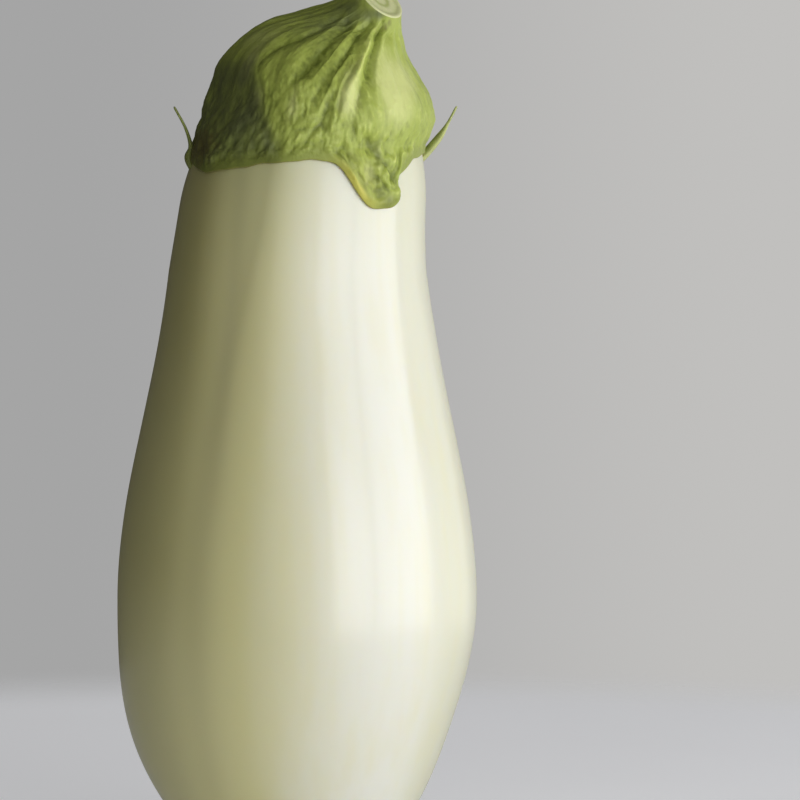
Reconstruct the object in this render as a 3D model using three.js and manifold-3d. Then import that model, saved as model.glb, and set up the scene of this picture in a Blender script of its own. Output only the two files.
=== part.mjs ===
// A long white eggplant standing on its blossom end: the fruit, and the green calyx that grew as one piece
// with its short cut stalk and is drawn over the fruit's crown like a cap.
// Millimetres, +Z up, origin in the middle of the flat spot the fruit stands on. An azimuth is measured in
// degrees from the front (-Y), positive towards the right (+X).
import * as THREE from "three";
import Module from "manifold-3d";

const { degToRad, radToDeg, smoothstep, lerp } = THREE.MathUtils;

// ---- Driving dimensions ----

const FRUIT = {
  bellyRadius: 37.5,
  bellyHeight: 57, // where the fruit is widest
  blossomDrop: 60.5, // half height of the ellipse under the belly, which the ground plane cuts off
  footRounding: 2, // how far the rim of the flat spot is drawn in
  footRoundingHeight: 1.5,
  neckRadius: 24.4,
  shoulderFall: 52.5, // height over which the belly narrows into the neck
  crownStart: 139, // the crown closes over the neck from here
  crownHeight: 34,
  crownRoundness: 1.9,
  bellyShift: 0.8, // the belly stands this far to the right of the flat spot
  blossomSag: 1, // and the blossom end sags this far to the left of both
  crownLean: { start: 125, right: 5.5, front: 2.5, curl: 1.3 },
  furrowDepth: 0.3,
  neckFold: { depth: 0.15, width: 1.3, azimuth: -34, swing: 12 }, // a groove down the left of the neck
};

const CALYX = {
  gap: 0.35, // clearance to the fruit's skin
  marginThickness: 0.85,
  leastThickness: 0.6, // the creases leave the margin at least this thick
  beadSwell: 0.08, // the margin's edge is this much thicker
  beltSwell: 0.35, // and so is the belt above it
  collarLevel: 151.6, // from here up the cap no longer follows the skin
  edgeLevel: 149.5, // height of the sinus between two lobes
  pleatDepth: 0.8,
  pleats: 12,
};

// Sections of the cap above its collar, up to the stalk: centre, radius, and how far its plane drops to the
// right and to the front. The last one is the slanting cut.
const CAP_SECTIONS = [
  { centre: [5.3, -0.9, 157.2], radius: 24, dropRight: 0.01, dropFront: 0.01 },
  { centre: [5.4, -1.1, 162.6], radius: 22.9, dropRight: 0.04, dropFront: 0.03 },
  { centre: [5.4, -1.3, 167.6], radius: 20.6, dropRight: 0.08, dropFront: 0.06 },
  { centre: [6.6, -1.6, 171.9], radius: 17.2, dropRight: 0.11, dropFront: 0.1 },
  { centre: [8.6, -2, 175], radius: 14.3, dropRight: 0.13, dropFront: 0.14 },
  { centre: [12, -2.6, 177.1], radius: 10.5, dropRight: 0.19, dropFront: 0.2 },
  { centre: [14.8, -3.4, 178.4], radius: 7.9, dropRight: 0.29, dropFront: 0.3 },
  { centre: [16.7, -4.3, 179.8], radius: 6.3, dropRight: 0.46, dropFront: 0.42 },
  { centre: [18.1, -5.2, 181.8], radius: 5.6, dropRight: 0.86, dropFront: 0.62 },
];

// Sepal lobes: azimuth of the middle, drop below the sinus, and on its left and its right side the half
// width in degrees and the squareness.
const LOBES = [
  { azimuth: -54, drop: 2.9, halfWidth: [20, 34], squareness: [2, 1.7] },
  { azimuth: 41, drop: 5.1, halfWidth: [19.4, 8.4], squareness: [3, 7] },
  { azimuth: 41, drop: 5.2, halfWidth: [19.4, 16], squareness: [3, 2] },
  { azimuth: 92, drop: -0.8, halfWidth: [16, 16], squareness: [2, 2] },
  { azimuth: 124, drop: 5.5, halfWidth: [17, 19], squareness: [2, 2] },
  { azimuth: 166, drop: 9, halfWidth: [18, 18], squareness: [2, 2] },
  { azimuth: 226, drop: 8, halfWidth: [20, 20], squareness: [2, 2] },
];

// The long front lobe leans: its end is swung to the right and its root to the left.
const FRONT_LOBE = { azimuth: 46, width: 7, swing: 3, endLevel: 141.3, rootLevel: 145.2 };

// The left side of the cap lies hollow behind a slanting ridge, given as azimuth and level.
const HOLLOW = {
  ridge: [[-2, 147], [-9, 151], [-19, 157], [-28, 163.4], [-33, 167.2], [-38, 171], [-42, 176]],
  farSide: -90,
  low: 157,
  high: 172,
  depth: 2,
};

// Folds of the cap, each as its route from the upper end down: azimuth, level, half width and height. Creases
// are pressed in and crests stand up.
const CREASES = [
  [
    [-45, 178.7, 0.9, 0.3], [-35, 177, 1.1, 0.55], [-27, 175, 1.2, 0.65], [-30.5, 173.3, 1.2, 0.65],
    [-35.4, 171.6, 1.1, 0.55], [-38, 169, 1.1, 0.45], [-36.4, 166.8, 1, 0.35], [-32, 163.3, 1, 0.2],
    [-28, 160, 0.8, 0.05],
  ],
  [
    [-24, 177, 1.3, 0.7], [-9, 175.3, 1.3, 0.9], [-3, 172.2, 1.5, 0.95], [-5, 169.1, 1.7, 0.9],
    [-10, 166.2, 1.7, 0.7], [-15, 164, 1.5, 0.4], [-18, 162, 1.4, 0.1],
  ],
  [
    [0, 177, 0.8, 0.6], [7.5, 175.3, 0.9, 0.7], [16.5, 172.2, 1, 0.7], [12.8, 169.2, 1.1, 0.6],
    [6.5, 166.2, 1.3, 0.75], [1, 163, 1.4, 0.65], [-2, 160.3, 1.3, 0.5], [-4, 157, 1.2, 0.1],
  ],
  [
    [19.5, 169.7, 0.7, 0.1], [13.5, 166.3, 0.8, 0.35], [9.9, 163.3, 0.8, 0.4], [5.8, 160.2, 0.8, 0.45],
    [3.1, 156.9, 0.8, 0.35], [1, 154, 0.8, 0.1],
  ],
  [
    [20.1, 177, 0.6, 0.6], [28.3, 175.4, 0.7, 0.8], [37, 172.3, 0.8, 0.8], [33, 169.2, 0.8, 0.8],
    [29, 166.1, 0.9, 0.65], [23.5, 163.1, 0.8, 0.75], [20.5, 160.1, 0.8, 0.55], [19, 156.9, 0.7, 0.3],
  ],
  [
    [29, 153.6, 0.9, 0.2], [32, 152.4, 1.2, 0.5], [35, 150.8, 1, 0.6], [38, 149.3, 0.6, 0.5],
    [42, 147.3, 0.5, 0.5], [46, 145.4, 0.5, 0.5], [48, 143.2, 0.5, 0.4], [46.5, 141.4, 0.4, 0.3],
  ],
  [[19, 151, 0.6, 0.1], [25, 148.4, 0.6, 0.25], [30, 145.8, 0.6, 0.35], [37, 142.8, 0.7, 0.4]],
];
const CRESTS = [
  [
    [14.1, 177, 0.7, 0.4], [20.1, 175.3, 0.9, 0.6], [30.8, 172.2, 0.9, 0.8], [28, 169.2, 0.9, 1],
    [23, 166.1, 1.2, 0.95], [17, 163.1, 1.4, 0.75], [14.2, 160.1, 1.4, 0.5], [12, 157, 1.3, 0.25],
    [9, 154, 1.2, 0.05],
  ],
  [
    [40, 175.4, 0.6, 0.1], [44, 172.3, 0.7, 0.3], [39.6, 169.1, 0.8, 0.4], [36.5, 166.3, 0.8, 0.4],
    [33.4, 163.3, 0.8, 0.35], [31, 160, 0.8, 0.15],
  ],
  [
    [13, 149.5, 0.8, 0.1], [18.5, 148.2, 0.9, 0.3], [24, 145.5, 0.9, 0.4], [28.5, 142.7, 0.9, 0.4],
    [34, 140.6, 0.8, 0.3], [42, 140, 0.8, 0.2],
  ],
];

// Curled lobe tips: the path each follows from its root inside the lobe, its width and thickness there, and
// the way its face is turned.
const TIPS = [
  {
    path: [[-20.4, -3.9, 147], [-21.4, -4.1, 149], [-21, -4.3, 151.3], [-22, -4.8, 155], [-24.4, -5.4, 159.6]],
    width: [4.6, 4, 1.8, 0.9, 0.7],
    thickness: [2.1, 1.9, 1, 0.8, 0.6],
    facing: [-1, 0, 0.2],
  },
  {
    path: [[25.8, 7, 148], [27.9, 8, 150], [30.4, 8.9, 153], [32.2, 9.9, 155.8], [34.2, 11, 159.5]],
    width: [4, 3.4, 2.8, 1, 0.7],
    thickness: [1.8, 1.4, 1, 0.8, 0.6],
    facing: [0.8, 0.3, -0.5],
  },
  {
    path: [[8.4, 23.9, 143.4], [8.9, 25.7, 141.6], [9.6, 27.9, 142], [10.4, 29.3, 144.6], [11, 29.6, 147.8]],
    width: [6, 4.6, 3, 1.6, 0.7],
    thickness: [1.8, 1.4, 1, 0.8, 0.6],
    facing: [0.2, 1, -0.4],
  },
  {
    path: [
      [-15.4, 16.9, 143.6], [-17, 18.4, 141], [-18.4, 19.6, 138.2], [-19.8, 20.8, 136.2], [-21.6, 22.2, 135.8],
    ],
    width: [6, 4.6, 3, 1.6, 0.7],
    thickness: [1.8, 1.4, 1.1, 0.8, 0.6],
    facing: [-0.6, 0.8, 0.2],
  },
];

const TIP_CLEARANCE = 0.25; // beyond the cap's own gap

// Facets.
const FRUIT_COLUMNS = 80;
const FRUIT_RINGS = 34;
const CALYX_COLUMNS = 168;
const FRONT_DENSITY = 0.3; // the calyx's columns stand this share closer at the front
const LINING_RINGS = 6;
const MARGIN_RINGS = 7;
const CAP_RINGS = 17;
const FOLD_STEPS = 10; // from one point of a fold's route to the next
const TIP_SIDES = 10;
const TIP_STEPS = 12;
const SLIVER = 0.01; // facets thinner than this are merged away after joining

// ---- Shape rules ----

// 1 in the middle, falling to 0 past the half width; a higher power makes a squarer end.
const bulge = (x, power) => Math.exp(-(Math.abs(x) ** power));

// A centripetal Catmull-Rom curve through rows of numbers, where each stretch has an equal part of the share.
function rowAlong(rows, share) {
  const place = share * (rows.length - 1);
  const first = Math.min(Math.floor(place), rows.length - 2);
  const t = place - first;
  const beyond = (end, inner) => end.map((value, k) => 2 * value - inner[k]);
  const knot = (p, q) => Math.sqrt(Math.hypot(...p.map((value, k) => q[k] - value)));
  const [b, c] = [rows[first], rows[first + 1]];
  const [a, d] = [rows[first - 1] ?? beyond(b, c), rows[first + 2] ?? beyond(c, b)];
  const [ab, bc, cd] = [knot(a, b), knot(b, c), knot(c, d)];
  return b.map((_, k) => {
    const leaving = ((b[k] - a[k]) / ab - (c[k] - a[k]) / (ab + bc) + (c[k] - b[k]) / bc) * bc;
    const arriving = ((c[k] - b[k]) / bc - (d[k] - b[k]) / (bc + cd) + (d[k] - c[k]) / cd) * bc;
    const cubic = 2 * b[k] - 2 * c[k] + leaving + arriving;
    const square = 3 * c[k] - 3 * b[k] - 2 * leaving - arriving;
    return cubic * t ** 3 + square * t ** 2 + leaving * t + b[k];
  });
}

// Difference between two azimuths, from -180 to 180 degrees.
const apart = (a, b) => ((((a - b + 180) % 360) + 360) % 360) - 180;

const outwards = (azimuth) => {
  const a = degToRad(azimuth);
  return new THREE.Vector3(Math.sin(a), -Math.cos(a), 0);
};

// Soft lengthwise furrows of the fruit, strongest along the neck, from -1 to 1.
function furrow(azimuth, z) {
  const a = degToRad(azimuth);
  const waves = 0.5 * Math.cos(7 * a + 0.5) + 0.3 * Math.cos(11 * a + 2.1) + 0.2 * Math.cos(4 * a + 1.2);
  return waves * smoothstep(z, 50, 130);
}

// A shallow groove that swings down the left of the neck, with a soft swell on its right.
function neckFold(azimuth, z) {
  const { width, azimuth: lower, swing } = FRUIT.neckFold;
  const middle = lower + swing * smoothstep(z, 90, 145);
  const beside = (degToRad(apart(azimuth, middle)) * FRUIT.neckRadius) / width;
  const swell = bulge((beside - 0.8) * (beside < 0.8 ? 1 : 0.28), 2);
  const groove = bulge((beside + 0.8) * (beside < -0.8 ? 0.6 : 1), 2);
  return (swell - 0.55 * groove) * smoothstep(z, 58, 112) * smoothstep(-z, -154, -148);
}

// Middle of the fruit's section at height z.
function fruitAxis(z) {
  const lean = FRUIT.crownLean;
  const top = FRUIT.crownStart + FRUIT.crownHeight;
  const share = Math.max(0, (z - lean.start) / (top - lean.start)) ** lean.curl;
  const climb = Math.min(1, z / FRUIT.bellyHeight);
  const sag = FRUIT.blossomSag * Math.sin(Math.PI * climb) ** 2;
  const right = FRUIT.bellyShift * smoothstep(climb, 0.35, 1) - sag + lean.right * share;
  return new THREE.Vector3(right, -lean.front * share, z);
}

// Radius of the fruit's section at height z. A grown outline lies `grow` outside the skin, crown included.
function fruitRadius(azimuth, z, grow = 0) {
  const below = (z - FRUIT.bellyHeight) / FRUIT.blossomDrop;
  const above = (z - FRUIT.bellyHeight) / FRUIT.shoulderFall;
  let radius;
  if (z < FRUIT.bellyHeight) {
    const drawnIn = FRUIT.footRounding * Math.exp(-z / FRUIT.footRoundingHeight);
    radius = FRUIT.bellyRadius * Math.sqrt(1 - below * below) - drawnIn;
  } else {
    radius = FRUIT.neckRadius + (FRUIT.bellyRadius - FRUIT.neckRadius) * Math.exp(-above * above);
  }
  const rise = Math.max(0, (z - FRUIT.crownStart) / (FRUIT.crownHeight + grow));
  const crown = Math.sqrt(Math.max(0, 1 - rise ** FRUIT.crownRoundness));
  const waves = FRUIT.furrowDepth * furrow(azimuth, z) + FRUIT.neckFold.depth * neckFold(azimuth, z);
  return (radius + grow + waves) * crown;
}

const onFruit = (azimuth, z, grow = 0) =>
  fruitAxis(z).addScaledVector(outwards(azimuth), fruitRadius(azimuth, z, grow));

// How far a lobe hangs below the sinus at an azimuth.
function lobeDrop(lobe, azimuth) {
  const side = apart(azimuth, lobe.azimuth);
  const half = side < 0 ? 0 : 1;
  return lobe.drop * bulge(side / lobe.halfWidth[half], lobe.squareness[half]);
}

// Height of the calyx's lower edge at an azimuth.
function edgeLevel(azimuth) {
  return LOBES.reduce((level, lobe) => level - lobeDrop(lobe, azimuth), CALYX.edgeLevel);
}

// Point over the crown; where the front lobe lies, it follows the lobe's lean.
function onCrown(azimuth, level, grow) {
  const end = bulge((level - FRONT_LOBE.endLevel) / 2, 2);
  const root = bulge((level - FRONT_LOBE.rootLevel) / 1.8, 2);
  const swing = FRONT_LOBE.swing * bulge(apart(azimuth, FRONT_LOBE.azimuth) / FRONT_LOBE.width, 2);
  return onFruit(azimuth + swing * (end - 0.6 * root), level, grow);
}

// How far the hollow side is pressed in at a place.
function pressedIn(azimuth, level) {
  const { ridge, farSide, low, high, depth } = HOLLOW;
  const above = Math.max(1, ridge.findIndex(([, z]) => z > level));
  const [[a, from], [b, to]] = level > ridge.at(-1)[1] ? ridge.slice(-2) : ridge.slice(above - 1, above + 1);
  const border = lerp(a, b, Math.min(1, Math.max(0, (level - from) / (to - from))));
  const turned = apart(azimuth, 0);
  const within = smoothstep(level, low - 3, low + 5) * smoothstep(-level, -high - 4, -high + 5);
  return depth * within * smoothstep(border - turned, 0, 20) * smoothstep(turned, farSide, farSide + 28);
}

// Pleats of the cap, from -1 in a groove to 1 on a crest: uneven in width, as grown, and faint at the front
// and on the hollow side.
function pleat(azimuth, climb) {
  const a = degToRad(azimuth);
  const uneven = 0.9 * Math.sin(2 * a + 0.7) + 0.5 * Math.sin(3 * a + 2.4) + 0.6 * climb;
  const fold = Math.abs(Math.sin(CALYX.pleats * a + uneven));
  const strength = (0.65 + 0.35 * Math.cos(a + 0.4)) * (1 - 0.75 * bulge(apart(azimuth, -62) / 42, 2));
  const front = 0.15 + 0.85 * smoothstep(Math.abs(apart(azimuth, 8)), 30, 100);
  return (1 - 2 * fold ** 1.4) * strength * front * (0.3 + 0.7 * smoothstep(climb, 0.2, 0.7));
}

// ---- Solids ----

// A closed skin over rings of points that run round counter-clockwise, closed by a point at either end.
function closedSkin(firstPole, rings, lastPole) {
  const columns = rings[0].length;
  const points = [firstPole, ...rings.flat(), lastPole];
  const at = (ring, column) => 1 + ring * columns + (column % columns);
  const last = points.length - 1;
  const faces = [];
  for (let c = 0; c < columns; c++) {
    faces.push(0, at(0, c + 1), at(0, c));
    for (let r = 0; r + 1 < rings.length; r++) {
      faces.push(at(r, c), at(r, c + 1), at(r + 1, c + 1));
      faces.push(at(r, c), at(r + 1, c + 1), at(r + 1, c));
    }
    faces.push(at(rings.length - 1, c), at(rings.length - 1, c + 1), last);
  }
  return new THREE.BufferGeometry().setFromPoints(points).setIndex(faces);
}

function fruitGeometry(grow = 0) {
  const top = FRUIT.crownStart + FRUIT.crownHeight + grow;
  const columns = Array.from({ length: FRUIT_COLUMNS }, (_, c) => (360 * c) / FRUIT_COLUMNS);
  const rings = Array.from({ length: FRUIT_RINGS }, (_, r) => {
    const z = (top * (1 - Math.cos((Math.PI * r) / FRUIT_RINGS))) / 2;
    return columns.map((azimuth) => onFruit(azimuth, z, grow));
  });
  return closedSkin(new THREE.Vector3(0, 0, 0), rings, fruitAxis(top));
}

// Azimuths of the calyx's columns.
const AROUND = Array.from({ length: CALYX_COLUMNS }, (_, c) => {
  const turn = (2 * Math.PI * c) / CALYX_COLUMNS;
  return radToDeg(turn - FRONT_DENSITY * Math.sin(turn));
});

// The lining lies against the fruit, from the top of the crown down to the edge.
function liningRings() {
  const top = FRUIT.crownStart + FRUIT.crownHeight + CALYX.gap;
  return Array.from({ length: LINING_RINGS }, (_, r) => {
    const height = Math.cos((Math.PI * (r + 1)) / (2 * LINING_RINGS));
    return AROUND.map((azimuth) => onCrown(azimuth, lerp(edgeLevel(azimuth), top, height), CALYX.gap));
  });
}

// The margin turns round the edge in a slight bead, swells to the belt and climbs to the collar.
function marginRings() {
  return Array.from({ length: MARGIN_RINGS }, (_, r) =>
    AROUND.map((azimuth) => {
      const climb = r / MARGIN_RINGS;
      const edge = edgeLevel(azimuth);
      const rise = climb * (CALYX.collarLevel - edge);
      const roll = CALYX.marginThickness * 0.5 * Math.exp(-r);
      const bead = CALYX.beadSwell * bulge((rise - 0.9) / 0.9, 2);
      const swell = (bead + CALYX.beltSwell * smoothstep(rise, 1.6, 3.4)) * smoothstep(1 - climb, 0, 0.5);
      const thickness = r === 0 ? CALYX.marginThickness * 0.5 : CALYX.marginThickness + swell;
      return onCrown(azimuth, edge + rise - roll, CALYX.gap + thickness);
    }),
  );
}

// Rows of centre, radius and drops for the cap's sections, from the collar up.
const COLLAR_RADIUS = fruitRadius(0, CALYX.collarLevel, CALYX.gap + CALYX.marginThickness);
const SECTION_ROWS = [
  [...fruitAxis(CALYX.collarLevel), COLLAR_RADIUS, 0, 0],
  ...CAP_SECTIONS.map((s) => [...s.centre, s.radius, s.dropRight, s.dropFront]),
];

// The cap before its folds, from the collar up to the slanting cut of the stalk.
function capRings() {
  return Array.from({ length: CAP_RINGS + 1 }, (_, r) => {
    const climb = r / CAP_RINGS;
    const [x, y, z, radius, dropRight, dropFront] = rowAlong(SECTION_ROWS, climb);
    return AROUND.map((azimuth) => {
      const direction = outwards(azimuth);
      direction.z = dropFront * direction.y - dropRight * direction.x;
      direction.normalize();
      const wave = FRUIT.furrowDepth * (1 - climb) * furrow(azimuth, CALYX.collarLevel);
      const reach = radius + wave - pressedIn(azimuth, z + direction.z * radius);
      return new THREE.Vector3(x, y, z).addScaledVector(direction, reach);
    });
  });
}

// Samples of a fold's route over the rings of the calyx's outside.
function foldLine(route, rings) {
  const steps = FOLD_STEPS * (route.length - 1);
  return Array.from({ length: steps + 1 }, (_, s) => {
    const [azimuth, level, halfWidth, height] = rowAlong(route, s / steps);
    const off = AROUND.map((around) => Math.abs(apart(around, azimuth)));
    const column = off.indexOf(Math.min(...off));
    const above = Math.max(1, rings.findIndex((ring) => ring[column].z > level));
    const [low, high] = [rings[above - 1][column], rings[above][column]];
    return { point: low.clone().lerp(high, (level - low.z) / (high.z - low.z)), halfWidth, height };
  });
}

// Height that the nearest fold gives the surface at a point.
function foldHeight(samples, point) {
  const away = samples.map((sample) => sample.point.distanceTo(point));
  const least = Math.min(...away);
  const { halfWidth, height } = samples[away.indexOf(least)];
  return height * Math.exp(-1.25 * (Math.hypot(least / halfWidth, 0.35) - 0.35));
}

// How far the surface stands out at a point of a ring, counted from the edge.
function relief(ring, azimuth, point, creases, crests) {
  const onMargin = ring < MARGIN_RINGS;
  const deepest = onMargin ? CALYX.marginThickness - CALYX.leastThickness : Infinity;
  const folds = foldHeight(crests, point) - Math.min(foldHeight(creases, point), deepest);
  if (onMargin) return folds;
  const climb = (ring - MARGIN_RINGS) / CAP_RINGS;
  const fullness = rowAlong(SECTION_ROWS, climb)[3] / COLLAR_RADIUS + 0.25;
  const pleats = CALYX.pleatDepth * Math.sin(Math.PI * climb ** 0.8) * fullness * pleat(azimuth, climb);
  return folds * smoothstep(1 - climb, 0, 0.2) + pleats;
}

function capGeometry() {
  const outside = [...marginRings(), ...capRings()];
  const laid = (routes) => routes.flatMap((route) => foldLine(route, outside));
  const [creases, crests] = [laid(CREASES), laid(CRESTS)];
  const top = fruitAxis(FRUIT.crownStart + FRUIT.crownHeight);
  top.z += CALYX.gap;
  const cut = new THREE.Vector3(...CAP_SECTIONS.at(-1).centre);
  const lining = liningRings();
  const plain = closedSkin(top, [...lining, ...outside], cut);
  plain.computeVertexNormals();
  const folded = outside.map((ring, r) =>
    ring.map((point, c) => {
      if (r === 0) return point;
      const index = 1 + (lining.length + r) * CALYX_COLUMNS + c;
      const normal = new THREE.Vector3().fromBufferAttribute(plain.getAttribute("normal"), index);
      return point.clone().addScaledVector(normal, relief(r, AROUND[c], point, creases, crests));
    }),
  );
  return closedSkin(top, [...lining, ...folded], cut);
}

// A curled tip: a flat blade that tapers along its path.
function tipGeometry({ path, width, thickness, facing }) {
  const curve = new THREE.CatmullRomCurve3(path.map((p) => new THREE.Vector3(...p)));
  const sizes = new THREE.CatmullRomCurve3(width.map((w, i) => new THREE.Vector3(w, thickness[i], 0)));
  const rings = [];
  for (let s = 0; s <= TIP_STEPS; s++) {
    const share = s / TIP_STEPS;
    const centre = curve.getPoint(share);
    const along = curve.getTangent(share);
    const across = new THREE.Vector3(...facing).cross(along).normalize();
    const out = along.clone().cross(across).normalize();
    const { x: wide, y: thick } = sizes.getPoint(share);
    rings.push(
      Array.from({ length: TIP_SIDES }, (_, c) => {
        const a = (2 * Math.PI * c) / TIP_SIDES;
        return centre
          .clone()
          .addScaledVector(across, (Math.cos(a) * wide) / 2)
          .addScaledVector(out, (Math.sin(a) * thick) / 2);
      }),
    );
  }
  return closedSkin(curve.getPoint(0), rings, curve.getPoint(1));
}

// ---- Joining ----

const wasm = await Module();
wasm.setup();

function solidFrom(geometry) {
  return new wasm.Manifold(
    new wasm.Mesh({
      numProp: 3,
      vertProperties: geometry.getAttribute("position").array,
      triVerts: new Uint32Array(geometry.index.array),
    }),
  );
}

function geometryFrom(solid) {
  const mesh = solid.getMesh();
  return new THREE.BufferGeometry()
    .setAttribute("position", new THREE.BufferAttribute(mesh.vertProperties, 3))
    .setIndex(new THREE.BufferAttribute(mesh.triVerts, 1));
}

// The tips' roots end inside the lobes' thickness, clear of the fruit.
function calyxGeometry() {
  const clearance = solidFrom(fruitGeometry(CALYX.gap + TIP_CLEARANCE));
  const tips = TIPS.map((tip) => solidFrom(tipGeometry(tip)).subtract(clearance));
  const grown = tips.reduce((solid, tip) => solid.add(tip), solidFrom(capGeometry()));
  return geometryFrom(grown.simplify(SLIVER));
}

// ---- The eggplant ----

const skin = new THREE.MeshStandardMaterial({ color: 0xe4e2c8, roughness: 0.28, metalness: 0 });
const green = new THREE.MeshStandardMaterial({ color: 0x90a24c, roughness: 0.55, metalness: 0 });

const fruit = new THREE.Mesh(fruitGeometry(), skin);
fruit.name = "fruit";
const calyx = new THREE.Mesh(calyxGeometry(), green);
calyx.name = "calyx";

const eggplant = new THREE.Group();
eggplant.add(fruit, calyx);
export default eggplant;
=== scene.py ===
"""Looks of a long white eggplant that stands on its blossom end.

The fruit is one smooth waxy body. The calyx is a fleshy green cap with five sepal lobes, pleated up into a
short stalk that was cut with a knife. Shape sizes are in millimetres, in the row frame: +Z up, the front
towards -Y, the origin in the middle of the flat spot. An azimuth is in degrees from the front, positive
towards +X.
"""

import logging
import math
from collections.abc import Callable, Sequence
from dataclasses import dataclass, field, fields, replace
from enum import Enum
from typing import ClassVar

import bpy
import numpy as np
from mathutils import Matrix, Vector


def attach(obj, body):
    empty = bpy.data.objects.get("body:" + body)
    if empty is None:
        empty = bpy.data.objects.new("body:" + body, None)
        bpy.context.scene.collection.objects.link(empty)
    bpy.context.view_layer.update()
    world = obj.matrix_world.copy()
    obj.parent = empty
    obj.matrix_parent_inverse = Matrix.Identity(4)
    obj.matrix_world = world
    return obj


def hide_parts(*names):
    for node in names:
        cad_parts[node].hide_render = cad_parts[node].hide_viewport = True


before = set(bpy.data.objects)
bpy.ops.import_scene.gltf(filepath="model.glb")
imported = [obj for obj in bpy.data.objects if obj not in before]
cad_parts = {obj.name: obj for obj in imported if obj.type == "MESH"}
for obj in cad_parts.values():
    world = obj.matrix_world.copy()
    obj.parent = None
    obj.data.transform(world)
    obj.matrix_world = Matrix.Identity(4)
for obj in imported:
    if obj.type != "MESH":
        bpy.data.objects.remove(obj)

MM = 0.001
DEGREE = math.pi / 180
LOG = logging.getLogger("eggplant")


# ---- Node trees, and the fields that run through them ----


class Field:
    """A number that varies over a surface: a socket of a node tree, with ordinary arithmetic."""

    def __init__(self, tree: bpy.types.NodeTree, socket: bpy.types.NodeSocket) -> None:
        """Wraps a socket.

        Args:
            tree: The node tree that holds the socket.
            socket: The output socket that the number comes from.
        """
        self.tree = tree
        self.socket = socket

    def math(self, operation: str, *values: "Value") -> "Field":
        """Adds a Math node.

        Args:
            operation: The node's operation, such as "ADD".
            values: Its inputs in order, this field usually among them.

        Returns:
            The node's result.
        """
        node = add_node(self.tree, "ShaderNodeMath", dict(enumerate(values)), operation=operation)
        return Field(self.tree, node.outputs[0])

    def __add__(self, other: "Value") -> "Field":
        """Sum of the two."""
        return self.math("ADD", self, other)

    def __sub__(self, other: "Value") -> "Field":
        """Difference of the two."""
        return self.math("SUBTRACT", self, other)

    def __rsub__(self, other: "Value") -> "Field":
        """Difference, from a plain number."""
        return self.math("SUBTRACT", other, self)

    def __mul__(self, other: "Value") -> "Field":
        """Product of the two."""
        return self.math("MULTIPLY", self, other)

    def __truediv__(self, other: "Value") -> "Field":
        """Quotient of the two."""
        return self.math("DIVIDE", self, other)

    def __rtruediv__(self, other: "Value") -> "Field":
        """Quotient, of a plain number."""
        return self.math("DIVIDE", other, self)

    def __neg__(self) -> "Field":
        """The field times -1."""
        return self.math("MULTIPLY", self, -1.0)

    __radd__ = __add__
    __rmul__ = __mul__


Value = Field | float | np.ndarray
Pair = tuple[Field, Field]


def add_node(
    tree: bpy.types.NodeTree,
    kind: str,
    inputs: dict[str | int, object] | None = None,
    **settings: object,
) -> bpy.types.Node:
    """Adds a node with its settings and links.

    Args:
        tree: The tree that gets the node.
        kind: The node's type name.
        inputs: For each input, by name or place, a field or socket to link or a value to set.
        settings: The node's own properties.

    Returns:
        The new node.
    """
    node = tree.nodes.new(kind)
    for name, value in settings.items():
        setattr(node, name, value)
    for key, value in (inputs or {}).items():
        source = value.socket if isinstance(value, Field) else value
        if isinstance(source, bpy.types.NodeSocket):
            tree.links.new(source, node.inputs[key])
        else:
            node.inputs[key].default_value = source
    return node


def step(operation: str, plain: Callable[..., object], *values: Value) -> Value:
    """Takes one step of a rule, as a Math node if a value is a field and at once if none is.

    Args:
        operation: The Math node's operation.
        plain: The same step for plain numbers.
        values: What it is taken with.

    Returns:
        Its result, a field if any value is one.
    """
    for value in values:
        if isinstance(value, Field):
            return value.math(operation, *values)
    return plain(*values)


def exp(x: Value) -> Value:
    """e to the power x."""
    return step("EXPONENT", np.exp, x)


def sqrt(x: Value) -> Value:
    """Square root."""
    return step("SQRT", np.sqrt, x)


def power(x: Value, n: Value) -> Value:
    """x to the power n, for x of at least 0."""
    return step("POWER", np.power, x, n)


def sin(x: Value) -> Value:
    """Sine of radians."""
    return step("SINE", np.sin, x)


def cos(x: Value) -> Value:
    """Cosine of radians."""
    return step("COSINE", np.cos, x)


def size_of(x: Value) -> Value:
    """x without its sign."""
    return step("ABSOLUTE", np.abs, x)


def larger(x: Value, y: Value) -> Value:
    """The larger of the two."""
    return step("MAXIMUM", np.maximum, x, y)


def smaller(x: Value, y: Value) -> Value:
    """The smaller of the two."""
    return step("MINIMUM", np.minimum, x, y)


def wrapped(degrees: Value) -> Value:
    """An angle brought between -180 and 180 degrees."""
    return step("WRAP", lambda x, high, low: (x - low) % (high - low) + low, degrees, 180.0, -180.0)


def rising(x: Value, low: float, high: float) -> Value:
    """A smooth step from 0 at low to 1 at high; low may be the larger."""
    share = larger(smaller((x - low) / (high - low), 1.0), 0.0)
    return share * share * (3.0 - 2.0 * share)


def bump(x: Value) -> Value:
    """A bell of height 1 and half width about 1 round x = 0."""
    return exp(-(x * x))


def linear(code: str) -> tuple[float, float, float, float]:
    """Turns an sRGB hex colour into linear light.

    Args:
        code: Six hex digits.

    Returns:
        Red, green, blue and an alpha of 1.
    """
    shares = [int(code[i : i + 2], 16) / 255 for i in (0, 2, 4)]
    red, green, blue = (s / 12.92 if s <= 0.04045 else ((s + 0.055) / 1.055) ** 2.4 for s in shares)
    return (red, green, blue, 1.0)


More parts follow.
